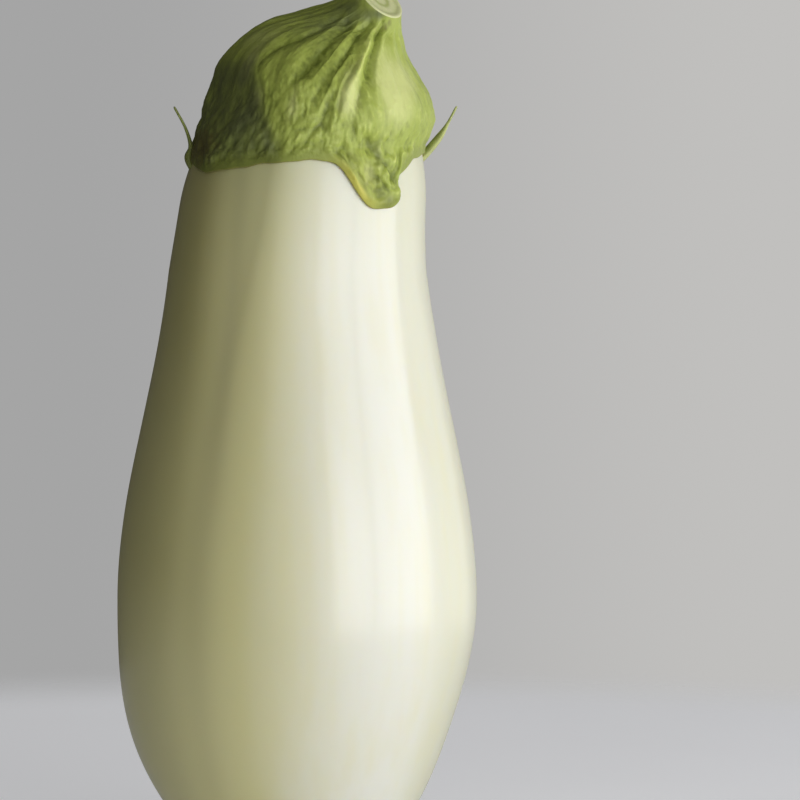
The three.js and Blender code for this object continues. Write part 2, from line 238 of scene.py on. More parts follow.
def place(tree: bpy.types.NodeTree) -> tuple[Field, ...]:
    """x, y and z over a piece, in a Geometry Nodes tree or, as Object coordinates, in a material.

    Args:
        tree: The tree that needs them.

    Returns:
        The three fields, in metres.
    """
    if tree.bl_idname == "GeometryNodeTree":
        where = add_node(tree, "GeometryNodeInputPosition").outputs[0]
    else:
        where = add_node(tree, "ShaderNodeTexCoord").outputs["Object"]
    parts = add_node(tree, "ShaderNodeSeparateXYZ", {0: where}).outputs
    return tuple(Field(tree, part) for part in parts)


def stored(tree: bpy.types.NodeTree, name: str) -> Field:
    """The number that a mesh stores under a name, in a Geometry Nodes tree or in a material.

    Args:
        tree: The tree that needs it.
        name: What the number is stored under.

    Returns:
        The number as a field.
    """
    if tree.bl_idname == "GeometryNodeTree":
        node = add_node(tree, "GeometryNodeInputNamedAttribute", {"Name": name}, data_type="FLOAT")
        return Field(tree, node.outputs["Attribute"])
    return Field(tree, add_node(tree, "ShaderNodeAttribute", attribute_name=name).outputs["Fac"])


class Recipe:
    """A Geometry Nodes tree in the making, with named inputs."""

    def __init__(self, name: str, shapes_a_mesh: bool = False) -> None:
        """Starts an empty tree.

        Args:
            name: The tree's name.
            shapes_a_mesh: Whether it changes the mesh of its object, and doesn't make its own.
        """
        self.tree = bpy.data.node_groups.new(name, "GeometryNodeTree")
        self.values: dict[str, object] = {}
        self.tree.interface.new_socket("Geometry", in_out="OUTPUT", socket_type="NodeSocketGeometry")
        if shapes_a_mesh:
            self.tree.interface.new_socket("Geometry", in_out="INPUT", socket_type="NodeSocketGeometry")
        self.entry = add_node(self.tree, "NodeGroupInput")

    def input(self, name: str, value: object, kind: str = "NodeSocketFloat") -> Field:
        """Adds a named input.

        Args:
            name: What the input is called.
            value: Its value on the modifier.
            kind: Its socket type.

        Returns:
            The input as a field.
        """
        socket = self.tree.interface.new_socket(name, in_out="INPUT", socket_type=kind)
        self.values[socket.identifier] = value
        return Field(self.tree, self.entry.outputs[name])

    def inputs_from(self, sizes: object) -> object:
        """A copy of a dataclass of numbers in which each number is a named input of this tree."""
        named = {f.name: self.input(f.name.replace("_", " "), getattr(sizes, f.name)) for f in fields(sizes)}
        return replace(sizes, **named)

    def vector(self, x: Value, y: Value, z: Value) -> bpy.types.NodeSocket:
        """Three fields as one vector."""
        return add_node(self.tree, "ShaderNodeCombineXYZ", {0: x, 1: y, 2: z}).outputs[0]

    def vector_step(self, operation: str, *values: object, **named: Value) -> bpy.types.NodeSocket:
        """Takes a step of vector arithmetic.

        Args:
            operation: Which step, such as "CROSS_PRODUCT".
            values: The vectors that it is taken with.
            named: Further inputs by name, such as the `scale` of the step "SCALE".

        Returns:
            The resulting vector.
        """
        inputs = {**dict(enumerate(values)), **{name.capitalize(): value for name, value in named.items()}}
        return add_node(self.tree, "ShaderNodeVectorMath", inputs, operation=operation).outputs[0]

    def noise(self, vector: bpy.types.NodeSocket, scale: Value, **inputs: float) -> Field:
        """Smooth noise from about -0.5 to 0.5.

        Args:
            vector: The vector field.
            scale: How many cells it has a unit.
            inputs: Further inputs of the node, such as `detail`.

        Returns:
            The noise.
        """
        values = {"Vector": vector, "Scale": scale, **{k.capitalize(): v for k, v in inputs.items()}}
        node = add_node(self.tree, "ShaderNodeTexNoise", values)
        return Field(self.tree, node.outputs[0]) - 0.5

    def cells(self, vector: bpy.types.NodeSocket, scale: Value) -> Field:
        """Distance to the nearest of points strewn at random, rounded off, in cell widths.

        Args:
            vector: The vector field that they are strewn in.
            scale: How many cells it has a unit.

        Returns:
            The distance.
        """
        values = {"Vector": vector, "Scale": scale, "Smoothness": 0.35}
        node = add_node(self.tree, "ShaderNodeTexVoronoi", values, feature="SMOOTH_F1")
        return Field(self.tree, node.outputs["Distance"])

    def tube(self, columns: int, rows: int, rings: int) -> bpy.types.NodeSocket:
        """A closed tube of points, 1 long and 1 in radius, whose points are there to be moved.

        Args:
            columns: How many points go round it.
            rows: How many rows it has along its side.
            rings: How many rings of faces close each end.

        Returns:
            Its mesh.
        """
        inputs = {
            "Vertices": self.input("columns", columns, "NodeSocketInt"),
            "Side Segments": self.input("rows", rows, "NodeSocketInt"),
            "Fill Segments": rings,
            "Radius": 1.0,
            "Depth": 1.0,
        }
        node = add_node(self.tree, "GeometryNodeMeshCylinder", inputs, fill_type="TRIANGLE_FAN")
        return node.outputs["Mesh"]

    def keep(self, geometry: bpy.types.NodeSocket, **numbers: Value) -> bpy.types.NodeSocket:
        """Stores numbers on the points of a mesh.

        Args:
            geometry: The mesh.
            numbers: The numbers, by the names that the mesh stores them under.

        Returns:
            The mesh that has them.
        """
        for name, number in numbers.items():
            inputs = {"Geometry": geometry, "Name": name, "Value": number}
            node = add_node(
                self.tree, "GeometryNodeStoreNamedAttribute", inputs, data_type="FLOAT", domain="POINT"
            )
            geometry = node.outputs[0]
        return geometry

    def move(self, geometry: bpy.types.NodeSocket, **where: object) -> bpy.types.NodeSocket:
        """Moves the points of a mesh to a `position`, or by an `offset`."""
        inputs = {"Geometry": geometry, **{name.capitalize(): vector for name, vector in where.items()}}
        return add_node(self.tree, "GeometryNodeSetPosition", inputs).outputs[0]

    def finish(self, geometry: bpy.types.NodeSocket, material: bpy.types.Material) -> None:
        """Ends the tree: real geometry, shaded smooth, in its material.

        Args:
            geometry: The finished mesh.
            material: The finish that it gets.
        """
        real = add_node(self.tree, "GeometryNodeRealizeInstances", {"Geometry": geometry})
        even = add_node(self.tree, "GeometryNodeSetShadeSmooth", {"Geometry": real.outputs[0]})
        dress = {"Geometry": even.outputs[0], "Material": material}
        dressed = add_node(self.tree, "GeometryNodeSetMaterial", dress)
        add_node(self.tree, "NodeGroupOutput", {"Geometry": dressed.outputs[0]})

    def make(self, name: str, mesh: bpy.types.Mesh | None = None) -> bpy.types.Object:
        """Runs the tree and keeps its result as a plain mesh.

        Args:
            name: The new object's name.
            mesh: The mesh that the tree changes, if it changes one.

        Returns:
            The object, with no modifier left on it.
        """
        start = mesh or bpy.data.meshes.new(name)
        piece = bpy.data.objects.new(name, start)
        bpy.context.scene.collection.objects.link(piece)
        modifier = piece.modifiers.new(self.tree.name, "NODES")
        modifier.node_group = self.tree
        for identifier, value in self.values.items():
            modifier[identifier] = value
        graph = bpy.context.evaluated_depsgraph_get()
        result = bpy.data.meshes.new_from_object(piece.evaluated_get(graph), depsgraph=graph)
        piece.modifiers.clear()
        piece.data = result
        result.name = name
        bpy.data.meshes.remove(start)
        return piece


# ---- Finishes ----


@dataclass(frozen=True)
class Finish:
    """A procedural material: its name and what all finishes of this plant share."""

    name: str
    subsurface: float
    subsurface_depth_mm: float
    subsurface_reach: tuple[float, float, float]
    coat: float
    coat_roughness: float
    ior: float = 1.42

    def start(self) -> tuple[bpy.types.Material, bpy.types.NodeTree, bpy.types.Node]:
        """Makes the material with its Principled shader.

        Returns:
            The material, its node tree and its shader node.
        """
        material = bpy.data.materials.new(self.name)
        material.use_nodes = True
        tree = material.node_tree
        tree.nodes.clear()
        constants = {
            "Subsurface Weight": self.subsurface,
            "Subsurface Scale": self.subsurface_depth_mm * MM,
            "Subsurface Radius": self.subsurface_reach,
            "Coat Weight": self.coat,
            "Coat Roughness": self.coat_roughness,
            "IOR": self.ior,
        }
        shader = add_node(tree, "ShaderNodeBsdfPrincipled", constants)
        add_node(tree, "ShaderNodeOutputMaterial", {"Surface": shader.outputs[0]})
        return material, tree, shader


class Paint:
    """A colour built up of tints, each laid over the last."""

    def __init__(self, tree: bpy.types.NodeTree, code: str) -> None:
        """Starts with one colour all over.

        Args:
            tree: The material's tree.
            code: The colour as sRGB hex digits.
        """
        self.tree = tree
        self.colour: object = linear(code)

    def lay(self, share: Value, tint: "str | Paint") -> None:
        """Lays a tint over what there is.

        Args:
            share: 0 leaves what there is, and 1 covers it.
            tint: Its sRGB hex digits, or a paint of its own.
        """
        over = tint.colour if isinstance(tint, Paint) else linear(tint)
        node = add_node(self.tree, "ShaderNodeMix", {0: share, 6: self.colour, 7: over}, data_type="RGBA")
        self.colour = node.outputs[2]


def mottle(tree: bpy.types.NodeTree, patch_mm: Sequence[float], detail: float = 2.0) -> Field:
    """Noise from about -1 to 1 over the piece.

    Args:
        tree: The material's tree.
        patch_mm: How wide its patches are along x, y and z.
        detail: How many finer layers it has.

    Returns:
        The noise.
    """
    where = add_node(tree, "ShaderNodeTexCoord").outputs["Object"]
    per_metre = tuple(1 / (p * MM) for p in patch_mm)
    scaled = add_node(tree, "ShaderNodeMapping", {"Vector": where, "Scale": per_metre})
    node = add_node(tree, "ShaderNodeTexNoise", {"Vector": scaled.outputs[0], "Scale": 1.0, "Detail": detail})
    return (Field(tree, node.outputs[0]) - 0.5) * 4.0


@dataclass(frozen=True)
class WaxySkin(Finish):
    """Eggplant skin under its natural wax: a soft-edged gloss over cream flesh that glows a little.

    The colour runs in faint lengthwise streaks, as the vessels under the skin do. The side turned away from
    the key light is painted yellower and its neck darker, as painted shade, and the flank that faces right is
    painted a little darker at its rim, also painted shade. The skin greens towards the calyx, and just below
    the calyx it is also painted darker as its shadow, more on the side away from the key light. A dark tint
    along the neck's groove is painted shade.
    """

    name: str = "waxy_fruit_skin"
    subsurface: float = 0.25
    subsurface_depth_mm: float = 6.0
    subsurface_reach: tuple[float, float, float] = (1.0, 0.75, 0.4)
    coat: float = 0.26
    coat_roughness: float = 0.1
    cream: str = "EBEBDF"
    sunned: str = "E2E2CC"
    shade_side: str = "E2DEA6"
    streak: str = "E4DFB0"
    green_cast: str = "CFD09A"
    neck_shade: str = "B8B270"
    groove: str = "7C7656"
    scar: str = "A58E62"
    roughness: float = 0.3
    sun_azimuth: float = 1.05
    fine_streak_mm: tuple[float, float, float] = (3.5, 3.5, 98.0)
    broad_streak_mm: tuple[float, float, float] = (10.5, 10.5, 105.0)
    border_mm: tuple[float, float, float] = (9.0, 9.0, 90.0)
    cast_patch_mm: tuple[float, float, float] = (14.0, 14.0, 22.0)
    cast_levels_mm: tuple[float, float] = (120.0, 152.0)
    shoulder_levels_mm: tuple[float, float] = (45.0, 70.0)
    neck_levels_mm: tuple[float, float] = (85.0, 130.0)
    scar_radius_mm: float = 3.2
    scar_level_mm: float = 1.5

    def make(self) -> bpy.types.Material:
        """Builds the material."""
        material, tree, shader = self.start()
        across, depth, height = place(tree)
        level = height / MM
        from_axis = sqrt(across * across + depth * depth)
        outwards = larger(from_axis, 1.0 * MM)
        towards_key_light = (across * math.sin(self.sun_azimuth) - depth * math.cos(self.sun_azimuth)) / outwards
        paint = Paint(tree, self.cream)
        # Painted shade: the flank that faces right, towards the lamps, is painted a little darker and
        # yellower at its rim.
        paint.lay(rising(across / outwards, 0.7, 0.9), self.sunned)
        # Painted shade: the side turned away from the key light is painted yellower.
        paint.lay(rising(towards_key_light + mottle(tree, self.border_mm) * 0.07, 0.9, 0.15), self.shade_side)
        streaks = (mottle(tree, self.fine_streak_mm) + mottle(tree, self.broad_streak_mm)) * 0.5
        paint.lay(rising(streaks, -0.3, 0.9) * 0.3, self.streak)
        # Greener towards the calyx, the skin's own colour, and also painted shadow of the calyx, stronger on
        # the side away from the key light.
        cast = rising(level + mottle(tree, self.cast_patch_mm) * 4.5, *self.cast_levels_mm)
        paint.lay(cast * (0.55 - rising(towards_key_light, 0.2, 0.8) * 0.35), self.green_cast)
        # Painted shade: the neck's side away from the key light is painted darker.
        neck = rising(level, *self.shoulder_levels_mm) * 0.6 + rising(level, *self.neck_levels_mm) * 0.4
        shaded = rising(towards_key_light + mottle(tree, self.border_mm) * 0.05, 0.15, -0.3)
        paint.lay(neck * shaded * 0.65, self.neck_shade)
        # Painted shade along the neck's shallow groove.
        paint.lay(stored(tree, "groove") * 0.2, self.groove)
        ragged = from_axis / MM + mottle(tree, (2, 2, 2)) * 0.4
        scarred = rising(ragged, self.scar_radius_mm + 0.6, self.scar_radius_mm)
        paint.lay(rising(level, self.scar_level_mm, 0.2) * scarred, self.scar)
        tree.links.new(paint.colour, shader.inputs["Base Color"])
        uneven = self.roughness + mottle(tree, (6, 6, 12)) * 0.02
        tree.links.new(uneven.socket, shader.inputs["Roughness"])
        return material


@dataclass(frozen=True)
class SepalTissue(Finish):
    """Living sepals: fleshy, finely wrinkled green with a satin surface.

    Raised crests are painted a paler yellow-green as painted highlight and folds a deep green as painted
    shade;
    lighter patches are painted light, and darker grey-green patches painted shade, partly also the grey of
    withered tips. The margin is smooth with a thin tan line where it lies on the fruit, and the stalk's cut
    end shows light cream pith with green rings.
    """

    name: str = "sepal_tissue"
    subsurface: float = 0.12
    subsurface_depth_mm: float = 1.0
    subsurface_reach: tuple[float, float, float] = (0.7, 1.0, 0.3)
    coat: float = 0.04
    coat_roughness: float = 0.4
    leaf: str = "A8B654"
    crest: str = "D2DD7C"
    fold: str = "6C782A"
    pale_panel: str = "E2E89C"
    margin: str = "828C3C"
    yellowed: str = "CFCB5E"
    edge_tan: str = "9C8C50"
    dull: str = "545A3C"
    browned: str = "5A4A2C"
    pith: str = "D9DCA6"
    pith_ring: str = "B3BC70"
    roughness: float = 0.5
    uneven_mm: tuple[float, float, float] = (2.2, 2.2, 4.0)
    speckle_mm: tuple[float, float, float] = (1.1, 1.1, 1.43)
    pale_streak_mm: tuple[float, float, float] = (1.2, 1.2, 8.0)
    brown_fleck_mm: tuple[float, float, float] = (1.6, 1.6, 2.6)
    pith_pore_mm: float = 0.8
    grain_mm: tuple[float, float, float] = (0.55, 0.55, 0.88)  # coarser than real cells, so that it shows
    grain_depth_mm: float = 0.08

    def make(self) -> bpy.types.Material:
        """Builds the material."""
        material, tree, shader = self.start()
        relief, above_edge, cut = (stored(tree, name) for name in ("relief", "above_edge", "cut"))
        uneven = mottle(tree, self.uneven_mm) * 0.22
        speckle = mottle(tree, self.speckle_mm, 1.0) * 0.22
        paint = Paint(tree, self.leaf)
        # Painted highlight: raised crests are painted a paler yellow-green.
        paint.lay(rising(relief + uneven + speckle, 0.0, 0.8), self.crest)
        # Painted shade: folds are painted a deeper green.
        paint.lay(rising(relief + uneven * 0.5 + speckle, 0.0, -0.9), self.fold)
        # Painted light: lighter patches where light falls on the cap and the tips.
        pale = stored(tree, "pale") + mottle(tree, self.pale_streak_mm) * 0.12
        paint.lay(rising(pale, 0.1, 1.0) * 0.8, self.pale_panel)
        # Painted shade, partly also the grey of withered tips: darker grey-green patches.
        paint.lay(rising(stored(tree, "dull") + uneven, 0.1, 1.5) * 0.9, self.dull)
        paint.lay(rising(above_edge + uneven * 2.0, 4.5, 1.0) * 0.6, self.margin)
        by_rim = rising(above_edge + uneven, 2.6, 1.2) * 0.8 + 0.16
        paint.lay(smaller(stored(tree, "yellowed") * by_rim, 1.0), self.yellowed)
        paint.lay(rising(above_edge, 0.5, -0.1) * 0.5, self.edge_tan)
        browned = stored(tree, "browned") + mottle(tree, self.brown_fleck_mm) * 0.35
        paint.lay(rising(browned, 0.35, 1.1) * 0.6, self.browned)
        pores = mottle(tree, (self.pith_pore_mm,) * 3) * 0.12
        rings = bump((cut - 0.68) / 0.09) + bump((cut - 0.3) / 0.1) * 0.5
        face = Paint(tree, self.pith)
        face.lay(smaller(rings + pores, 1.0), self.pith_ring)
        paint.lay(rising(cut, 0.02, 0.05), face)
        tree.links.new(paint.colour, shader.inputs["Base Color"])
        satin = self.roughness + mottle(tree, (1.4, 1.4, 2.0)) * 0.06
        tree.links.new(satin.socket, shader.inputs["Roughness"])
        grain = mottle(tree, self.grain_mm, 3.0)
        pressed = {"Height": grain, "Strength": 0.35, "Distance": self.grain_depth_mm * MM}
        tree.links.new(add_node(tree, "ShaderNodeBump", pressed).outputs[0], shader.inputs["Normal"])
        return material


# ---- Fruit ----


@dataclass
class FruitShape:
    """Sizes of the fruit, and the rule that makes its skin of them.

    Each size is a number or a field, so one rule serves the node tree and whatever lies against the skin.
    """

    belly_radius: Value = 37.5
    belly_height: Value = 57.0
    blossom_drop: Value = 60.5
    foot_rounding: Value = 2.0
    foot_rounding_height: Value = 1.5
    neck_radius: Value = 24.4
    shoulder_fall: Value = 52.5
    crown_start: Value = 139.0
    crown_height: Value = 34.0
    crown_roundness: Value = 1.9
    belly_shift: Value = 0.8
    blossom_sag: Value = 1.0
    lean_start: Value = 125.0
    lean_right: Value = 5.5
    lean_front: Value = 2.5
    lean_curl: Value = 1.3
    furrow_depth: Value = 0.3
    neck_fold_depth: Value = 0.22
    neck_fold_width: Value = 2.1
    neck_fold_azimuth: Value = -28.0
    neck_fold_swing: Value = 11.5
    furrows: ClassVar[tuple[tuple[float, float, float], ...]] = (
        (7.0, 0.5, 0.5), (11.0, 2.1, 0.3), (4.0, 1.2, 0.2),
    )
    furrow_levels: ClassVar[tuple[float, float]] = (50.0, 130.0)
    fold_levels: ClassVar[tuple[float, float]] = (70.0, 115.0)
    fold_swings: ClassVar[tuple[float, float]] = (95.0, 145.0)
    fold_ends: ClassVar[tuple[float, float]] = (154.0, 148.0)

    def axis(self, height: Value) -> tuple[Value, Value]:
        """Middle of the fruit's section at a height.

        Args:
            height: Height over the flat spot.

        Returns:
            Its x and y.
        """
        lean_height = self.crown_start + self.crown_height - self.lean_start
        share = power(larger((height - self.lean_start) / lean_height, 0.0), self.lean_curl)
        climb = smaller(height / self.belly_height, 1.0)
        sag = sin(climb * math.pi)
        right = self.belly_shift * rising(climb, 0.35, 1.0) - self.blossom_sag * sag * sag
        return right + self.lean_right * share, self.lean_front * share * -1.0

    def furrow(self, azimuth: Value, height: Value) -> Value:
        """Soft lengthwise furrows, strongest along the neck, from -1 to 1; the azimuth is in radians."""
        waves = sum(cos(azimuth * count + phase) * share for count, phase, share in self.furrows)
        return waves * rising(height, *self.furrow_levels)

    def neck_fold(self, azimuth: Value, height: Value) -> Value:
        """A shallow groove down the left of the neck with a soft swell on its right, from about -0.5 to 1.

        Args:
            azimuth: In radians.
            height: Height over the flat spot.

        Returns:
            The share of the depth by which the skin stands out.
        """
        beside = self.beside_neck_fold(azimuth, height)
        swell = bump(smaller(beside - 0.8, 0.0) + larger(beside - 0.8, 0.0) * 0.3)
        groove = bump(larger(beside + 0.8, 0.0) + smaller(beside + 0.8, 0.0) * 0.6)
        return (swell - groove * 0.25) * rising(height, *self.fold_levels)

    def beside_neck_fold(self, azimuth: Value, height: Value) -> Value:
        """How many half widths a place lies to the right of the neck's fold.

        Args:
            azimuth: In radians.
            height: Height over the flat spot.

        Returns:
            The number of half widths, below 0 on its left.
        """
        middle = self.neck_fold_azimuth + self.neck_fold_swing * rising(height, *self.fold_swings)
        beside = wrapped(azimuth / DEGREE - middle) * (self.neck_radius * DEGREE)
        return beside / self.neck_fold_width

    def radius(self, azimuth: Value, height: Value, grow: Value = 0.0) -> Value:
        """Radius of the section at a height.

        Args:
            azimuth: In radians.
            height: Height over the flat spot.
            grow: How far outside the skin the outline lies, over the crown too.

        Returns:
            The distance from the section's middle.
        """
        below = smaller((height - self.belly_height) / self.blossom_drop, 0.0)
        above = larger((height - self.belly_height) / self.shoulder_fall, 0.0)
        waist = (self.belly_radius - self.neck_radius) * (1.0 - exp(above * above * -1.0))
        drawn_in = self.foot_rounding * exp(height / self.foot_rounding_height * -1.0)
        body = self.belly_radius * sqrt(1.0 - below * below) - waist - drawn_in
        rise = larger((height - self.crown_start) / (self.crown_height + grow), 0.0)
        crown = sqrt(larger(1.0 - power(rise, self.crown_roundness), 0.0))
        waves = self.furrow_depth * self.furrow(azimuth, height)
        fold = self.neck_fold_depth * self.neck_fold(azimuth, height) * rising(height, *self.fold_ends)
        return (body + grow + waves + fold) * crown

    def on_skin(self, azimuth: np.ndarray, height: np.ndarray, grow: Value) -> np.ndarray:
        """Points over the skin.

        Args:
            azimuth: In radians, one for each point.
            height: Height of each point.
            grow: How far outside the skin each point lies.

        Returns:
            The points, with x, y and z last.
        """
        across, depth = self.axis(height)
        radius = self.radius(azimuth, height, grow)
        right, back = np.sin(azimuth), -np.cos(azimuth)
        return np.stack([across + right * radius, depth + back * radius, height], axis=-1)


@dataclass
class FruitBody:
    """The fruit: one smooth body that swells to the belly and closes over the crown and the blossom end."""

    shape: FruitShape = field(default_factory=FruitShape)
    skin: WaxySkin = field(default_factory=WaxySkin)
    columns: int = 224
    rows: int = 232
    end_rings: int = 7
    end_cut: float = 0.99
    swell_depth: float = 0.44
    swell_width: float = 26.0
    swell_girth: float = 30.0
    swell_stretch: float = 0.6
    scar_dimple: float = 0.5
    groove_levels: tuple[float, float] = (75.0, 115.0)
    groove_ends: tuple[float, float] = (150.0, 132.0)

    def build(self) -> bpy.types.Object:
        """Grows the body from a plain tube of points by the shape's rule.

        Returns:
            The fruit as a plain mesh.
        """
        recipe = Recipe("fruit_growth")
        shape = recipe.inputs_from(self.shape)
        swell_depth = recipe.input("swell depth", self.swell_depth)
        swell_width = recipe.input("swell width", self.swell_width)
        dimple = recipe.input("scar dimple", self.scar_dimple)
        tube = recipe.tube(self.columns, self.rows, self.end_rings)
        x, y, z = place(recipe.tree)
        azimuth = x.math("ARCTAN2", x, y * -1.0)
        share = sqrt(x * x + y * y)
        climb = (z + 0.5) * (math.pi * self.end_cut)
        height = (1.0 - cos(climb)) * 0.5 * (shape.crown_start + shape.crown_height)
        right, back = sin(azimuth), cos(azimuth) * -1.0
        wound = recipe.vector(right * self.swell_girth, back * -self.swell_girth, height * self.swell_stretch)
        swell = recipe.noise(wound, 1.0 / swell_width) * swell_depth * rising(height, 2.0, 14.0)
        radius = (shape.radius(azimuth, height) + swell) * share
        across, depth = shape.axis(height)
        lifted = height + dimple * rising(share, 0.34, 0.1)
        skin_point = recipe.vector((across + right * radius) * MM, (depth + back * radius) * MM, lifted * MM)
        grown = recipe.move(tube, position=skin_point)
        beside = shape.beside_neck_fold(azimuth, height)
        within = rising(height, *self.groove_levels) * rising(height, *self.groove_ends)
        # The groove's place is kept so that the skin can have shade painted along it.
        groove = bump((beside + 0.6) * 0.9) * within
        recipe.finish(recipe.keep(grown, groove=groove), self.skin.make())
        piece = recipe.make("fruit_body")
        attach(piece, "root")
        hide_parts("fruit")
        return piece


# ---- Calyx ----


@dataclass(frozen=True)
class Lobe:
    """A sepal lobe: its middle, how far it hangs, and the half width and squareness of either side."""

    azimuth: float
    drop: float
    half_width: tuple[float, float]
    squareness: tuple[float, float]

    def hang(self, azimuth: np.ndarray) -> np.ndarray:
        """How far the lobe hangs below the sinus.

        Args:
            azimuth: The azimuths in degrees.

        Returns:
            The drop at each.
        """
        side = wrapped(azimuth - self.azimuth)
        left = side < 0
        share = np.abs(side) / np.where(left, *self.half_width)
        return self.drop * np.exp(-(share ** np.where(left, *self.squareness)))


@dataclass(frozen=True)
class Section:
    """A section of the cap: its middle, its radius, and how its plane drops to the right and the front."""

    centre: tuple[float, float, float]
    radius: float
    drop_right: float
    drop_front: float


class PatchKind(Enum):
    """What a patch of the cap has more of, as the name that the mesh stores it under."""

    BROWNED = "browned"
    YELLOWED = "yellowed"
    DULL = "dull"
    PALE = "pale"
    CALM = "calm"


@dataclass(frozen=True)
class Patch:
    """A soft patch of the cap: its middle by azimuth and level, half width, half height and strength."""

    kind: PatchKind
    azimuth: float
    level: float
    half_width: float
    half_height: float
    strength: float

    def share(self, azimuth: np.ndarray, level: np.ndarray) -> np.ndarray:
        """How much of the patch each point has, by azimuth in degrees and level in millimetres."""
        side = wrapped(azimuth - self.azimuth) / self.half_width
        return self.strength * np.exp(-(side**2) - ((level - self.level) / self.half_height) ** 2)


def patches_of(kind: PatchKind, *rows: tuple[float, float, float, float, float]) -> tuple[Patch, ...]:
    """Patches of one kind, each from azimuth, level, half width, half height and strength."""
    return tuple(Patch(kind, *row) for row in rows)


@dataclass(frozen=True)
class Hollow:
    """A side of the cap that lies hollow behind a slanting ridge and is painted in shade, in degrees and
    millimetres.
    """

    border: tuple[tuple[float, float], ...]
    far_side: float
    low: float
    high: float
    depth: float

    def behind(self, azimuth: np.ndarray, level: np.ndarray, blend: float) -> np.ndarray:
        """How far each point lies behind the ridge, from 0 to 1 over `blend` degrees."""
        around, up = np.array(self.border).T
        return rising(np.interp(level, up, around) - azimuth, 0.0, blend)

    def press(self, azimuth: np.ndarray, level: np.ndarray) -> np.ndarray:
        """How far each point is pressed in.

        Args:
            azimuth: Azimuth of each point in degrees.
            level: Level of each point.

        Returns:
            The depth at each.
        """
        within = rising(level, self.low - 3, self.low + 5) * rising(level, self.high + 4, self.high - 5)
        within = within * rising(azimuth, self.far_side, self.far_side + 28)
        return self.depth * self.behind(azimuth, level, 20.0) * within

    def shade(self, azimuth: np.ndarray, level: np.ndarray) -> np.ndarray:
        """How much painted shade each point gets.

        Args:
            azimuth: Azimuth of each point in degrees.
            level: Level of each point.

        Returns:
            The share of painted shade from 0 to 1.
        """
        within = rising(level, self.high + 2, self.high - 6)
        within = within * rising(azimuth, self.far_side - 50, self.far_side - 20)
        return self.behind(azimuth, level, 9.0) * within


class FoldKind(Enum):
    """Whether a fold is pressed in or stands up, as the sign of its height."""

    CREASE = -1.0
    CREST = 1.0


@dataclass(frozen=True)
class Fold:
    """A fold of the cap: its route as azimuth, level, half width and height at each point."""

    kind: FoldKind
    route: tuple[tuple[float, float, float, float], ...]


@dataclass(frozen=True)
class Lean:
    """How a hanging lobe leans: its azimuth and half width, and how far its end and its root are swung."""

    azimuth: float
    half_width: float
    swing: float
    end_level: float
    end_reach: float
    root_level: float
    root_reach: float
    root_share: float

    def turn(self, azimuth: np.ndarray, level: np.ndarray) -> np.ndarray:
        """How far each point is swung to the right.

        Args:
            azimuth: Azimuth of each point in degrees.
            level: Level of each point.

        Returns:
            The swing of each in degrees.
        """
        end = bump((level - self.end_level) / self.end_reach)
        root = bump((level - self.root_level) / self.root_reach) * self.root_share
        return self.swing * bump(wrapped(azimuth - self.azimuth) / self.half_width) * (end - root)


@dataclass(frozen=True)
class Tip:
    """A curled lobe tip: the middle of its blade from root to end, its widths there, facing and looks."""

    path: tuple[tuple[float, float, float], ...]
    width: tuple[float, ...]
    facing: tuple[float, float, float]
    # Painted shade on the tip, partly also the grey of a withered tip.
    dull: float = 0.75
    # Painted light on the tip.
    pale: float = 0.0


def smooth_path(points: Sequence[Sequence[float]], shares: np.ndarray) -> np.ndarray:
    """A centripetal Catmull-Rom curve through rows of numbers.

    Args:
        points: The rows that the curve passes through.
        shares: Places along it from 0 to 1; each stretch between two rows has an equal part.

    Returns:
        A row for each place.
    """
    given = np.asarray(points, float)
    rows = np.vstack([2 * given[0] - given[1], given, 2 * given[-1] - given[-2]])
    along = np.clip(shares, 0, 1) * (len(given) - 1)
    first = np.minimum(along.astype(int), len(given) - 2)
    t = (along - first)[:, None]
    a, b, c, d = (rows[first + k] for k in range(4))
    ab, bc, cd = (np.sqrt(np.linalg.norm(q - p, axis=1, keepdims=True)) for p, q in ((a, b), (b, c), (c, d)))
    leaving = ((b - a) / ab - (c - a) / (ab + bc) + (c - b) / bc) * bc
    arriving = ((c - b) / bc - (d - b) / (bc + cd) + (d - c) / cd) * bc
    curve = (2 * b - 2 * c + leaving + arriving) * t**3 + (3 * c - 3 * b - 2 * leaving - arriving) * t**2
    return curve + leaving * t + b


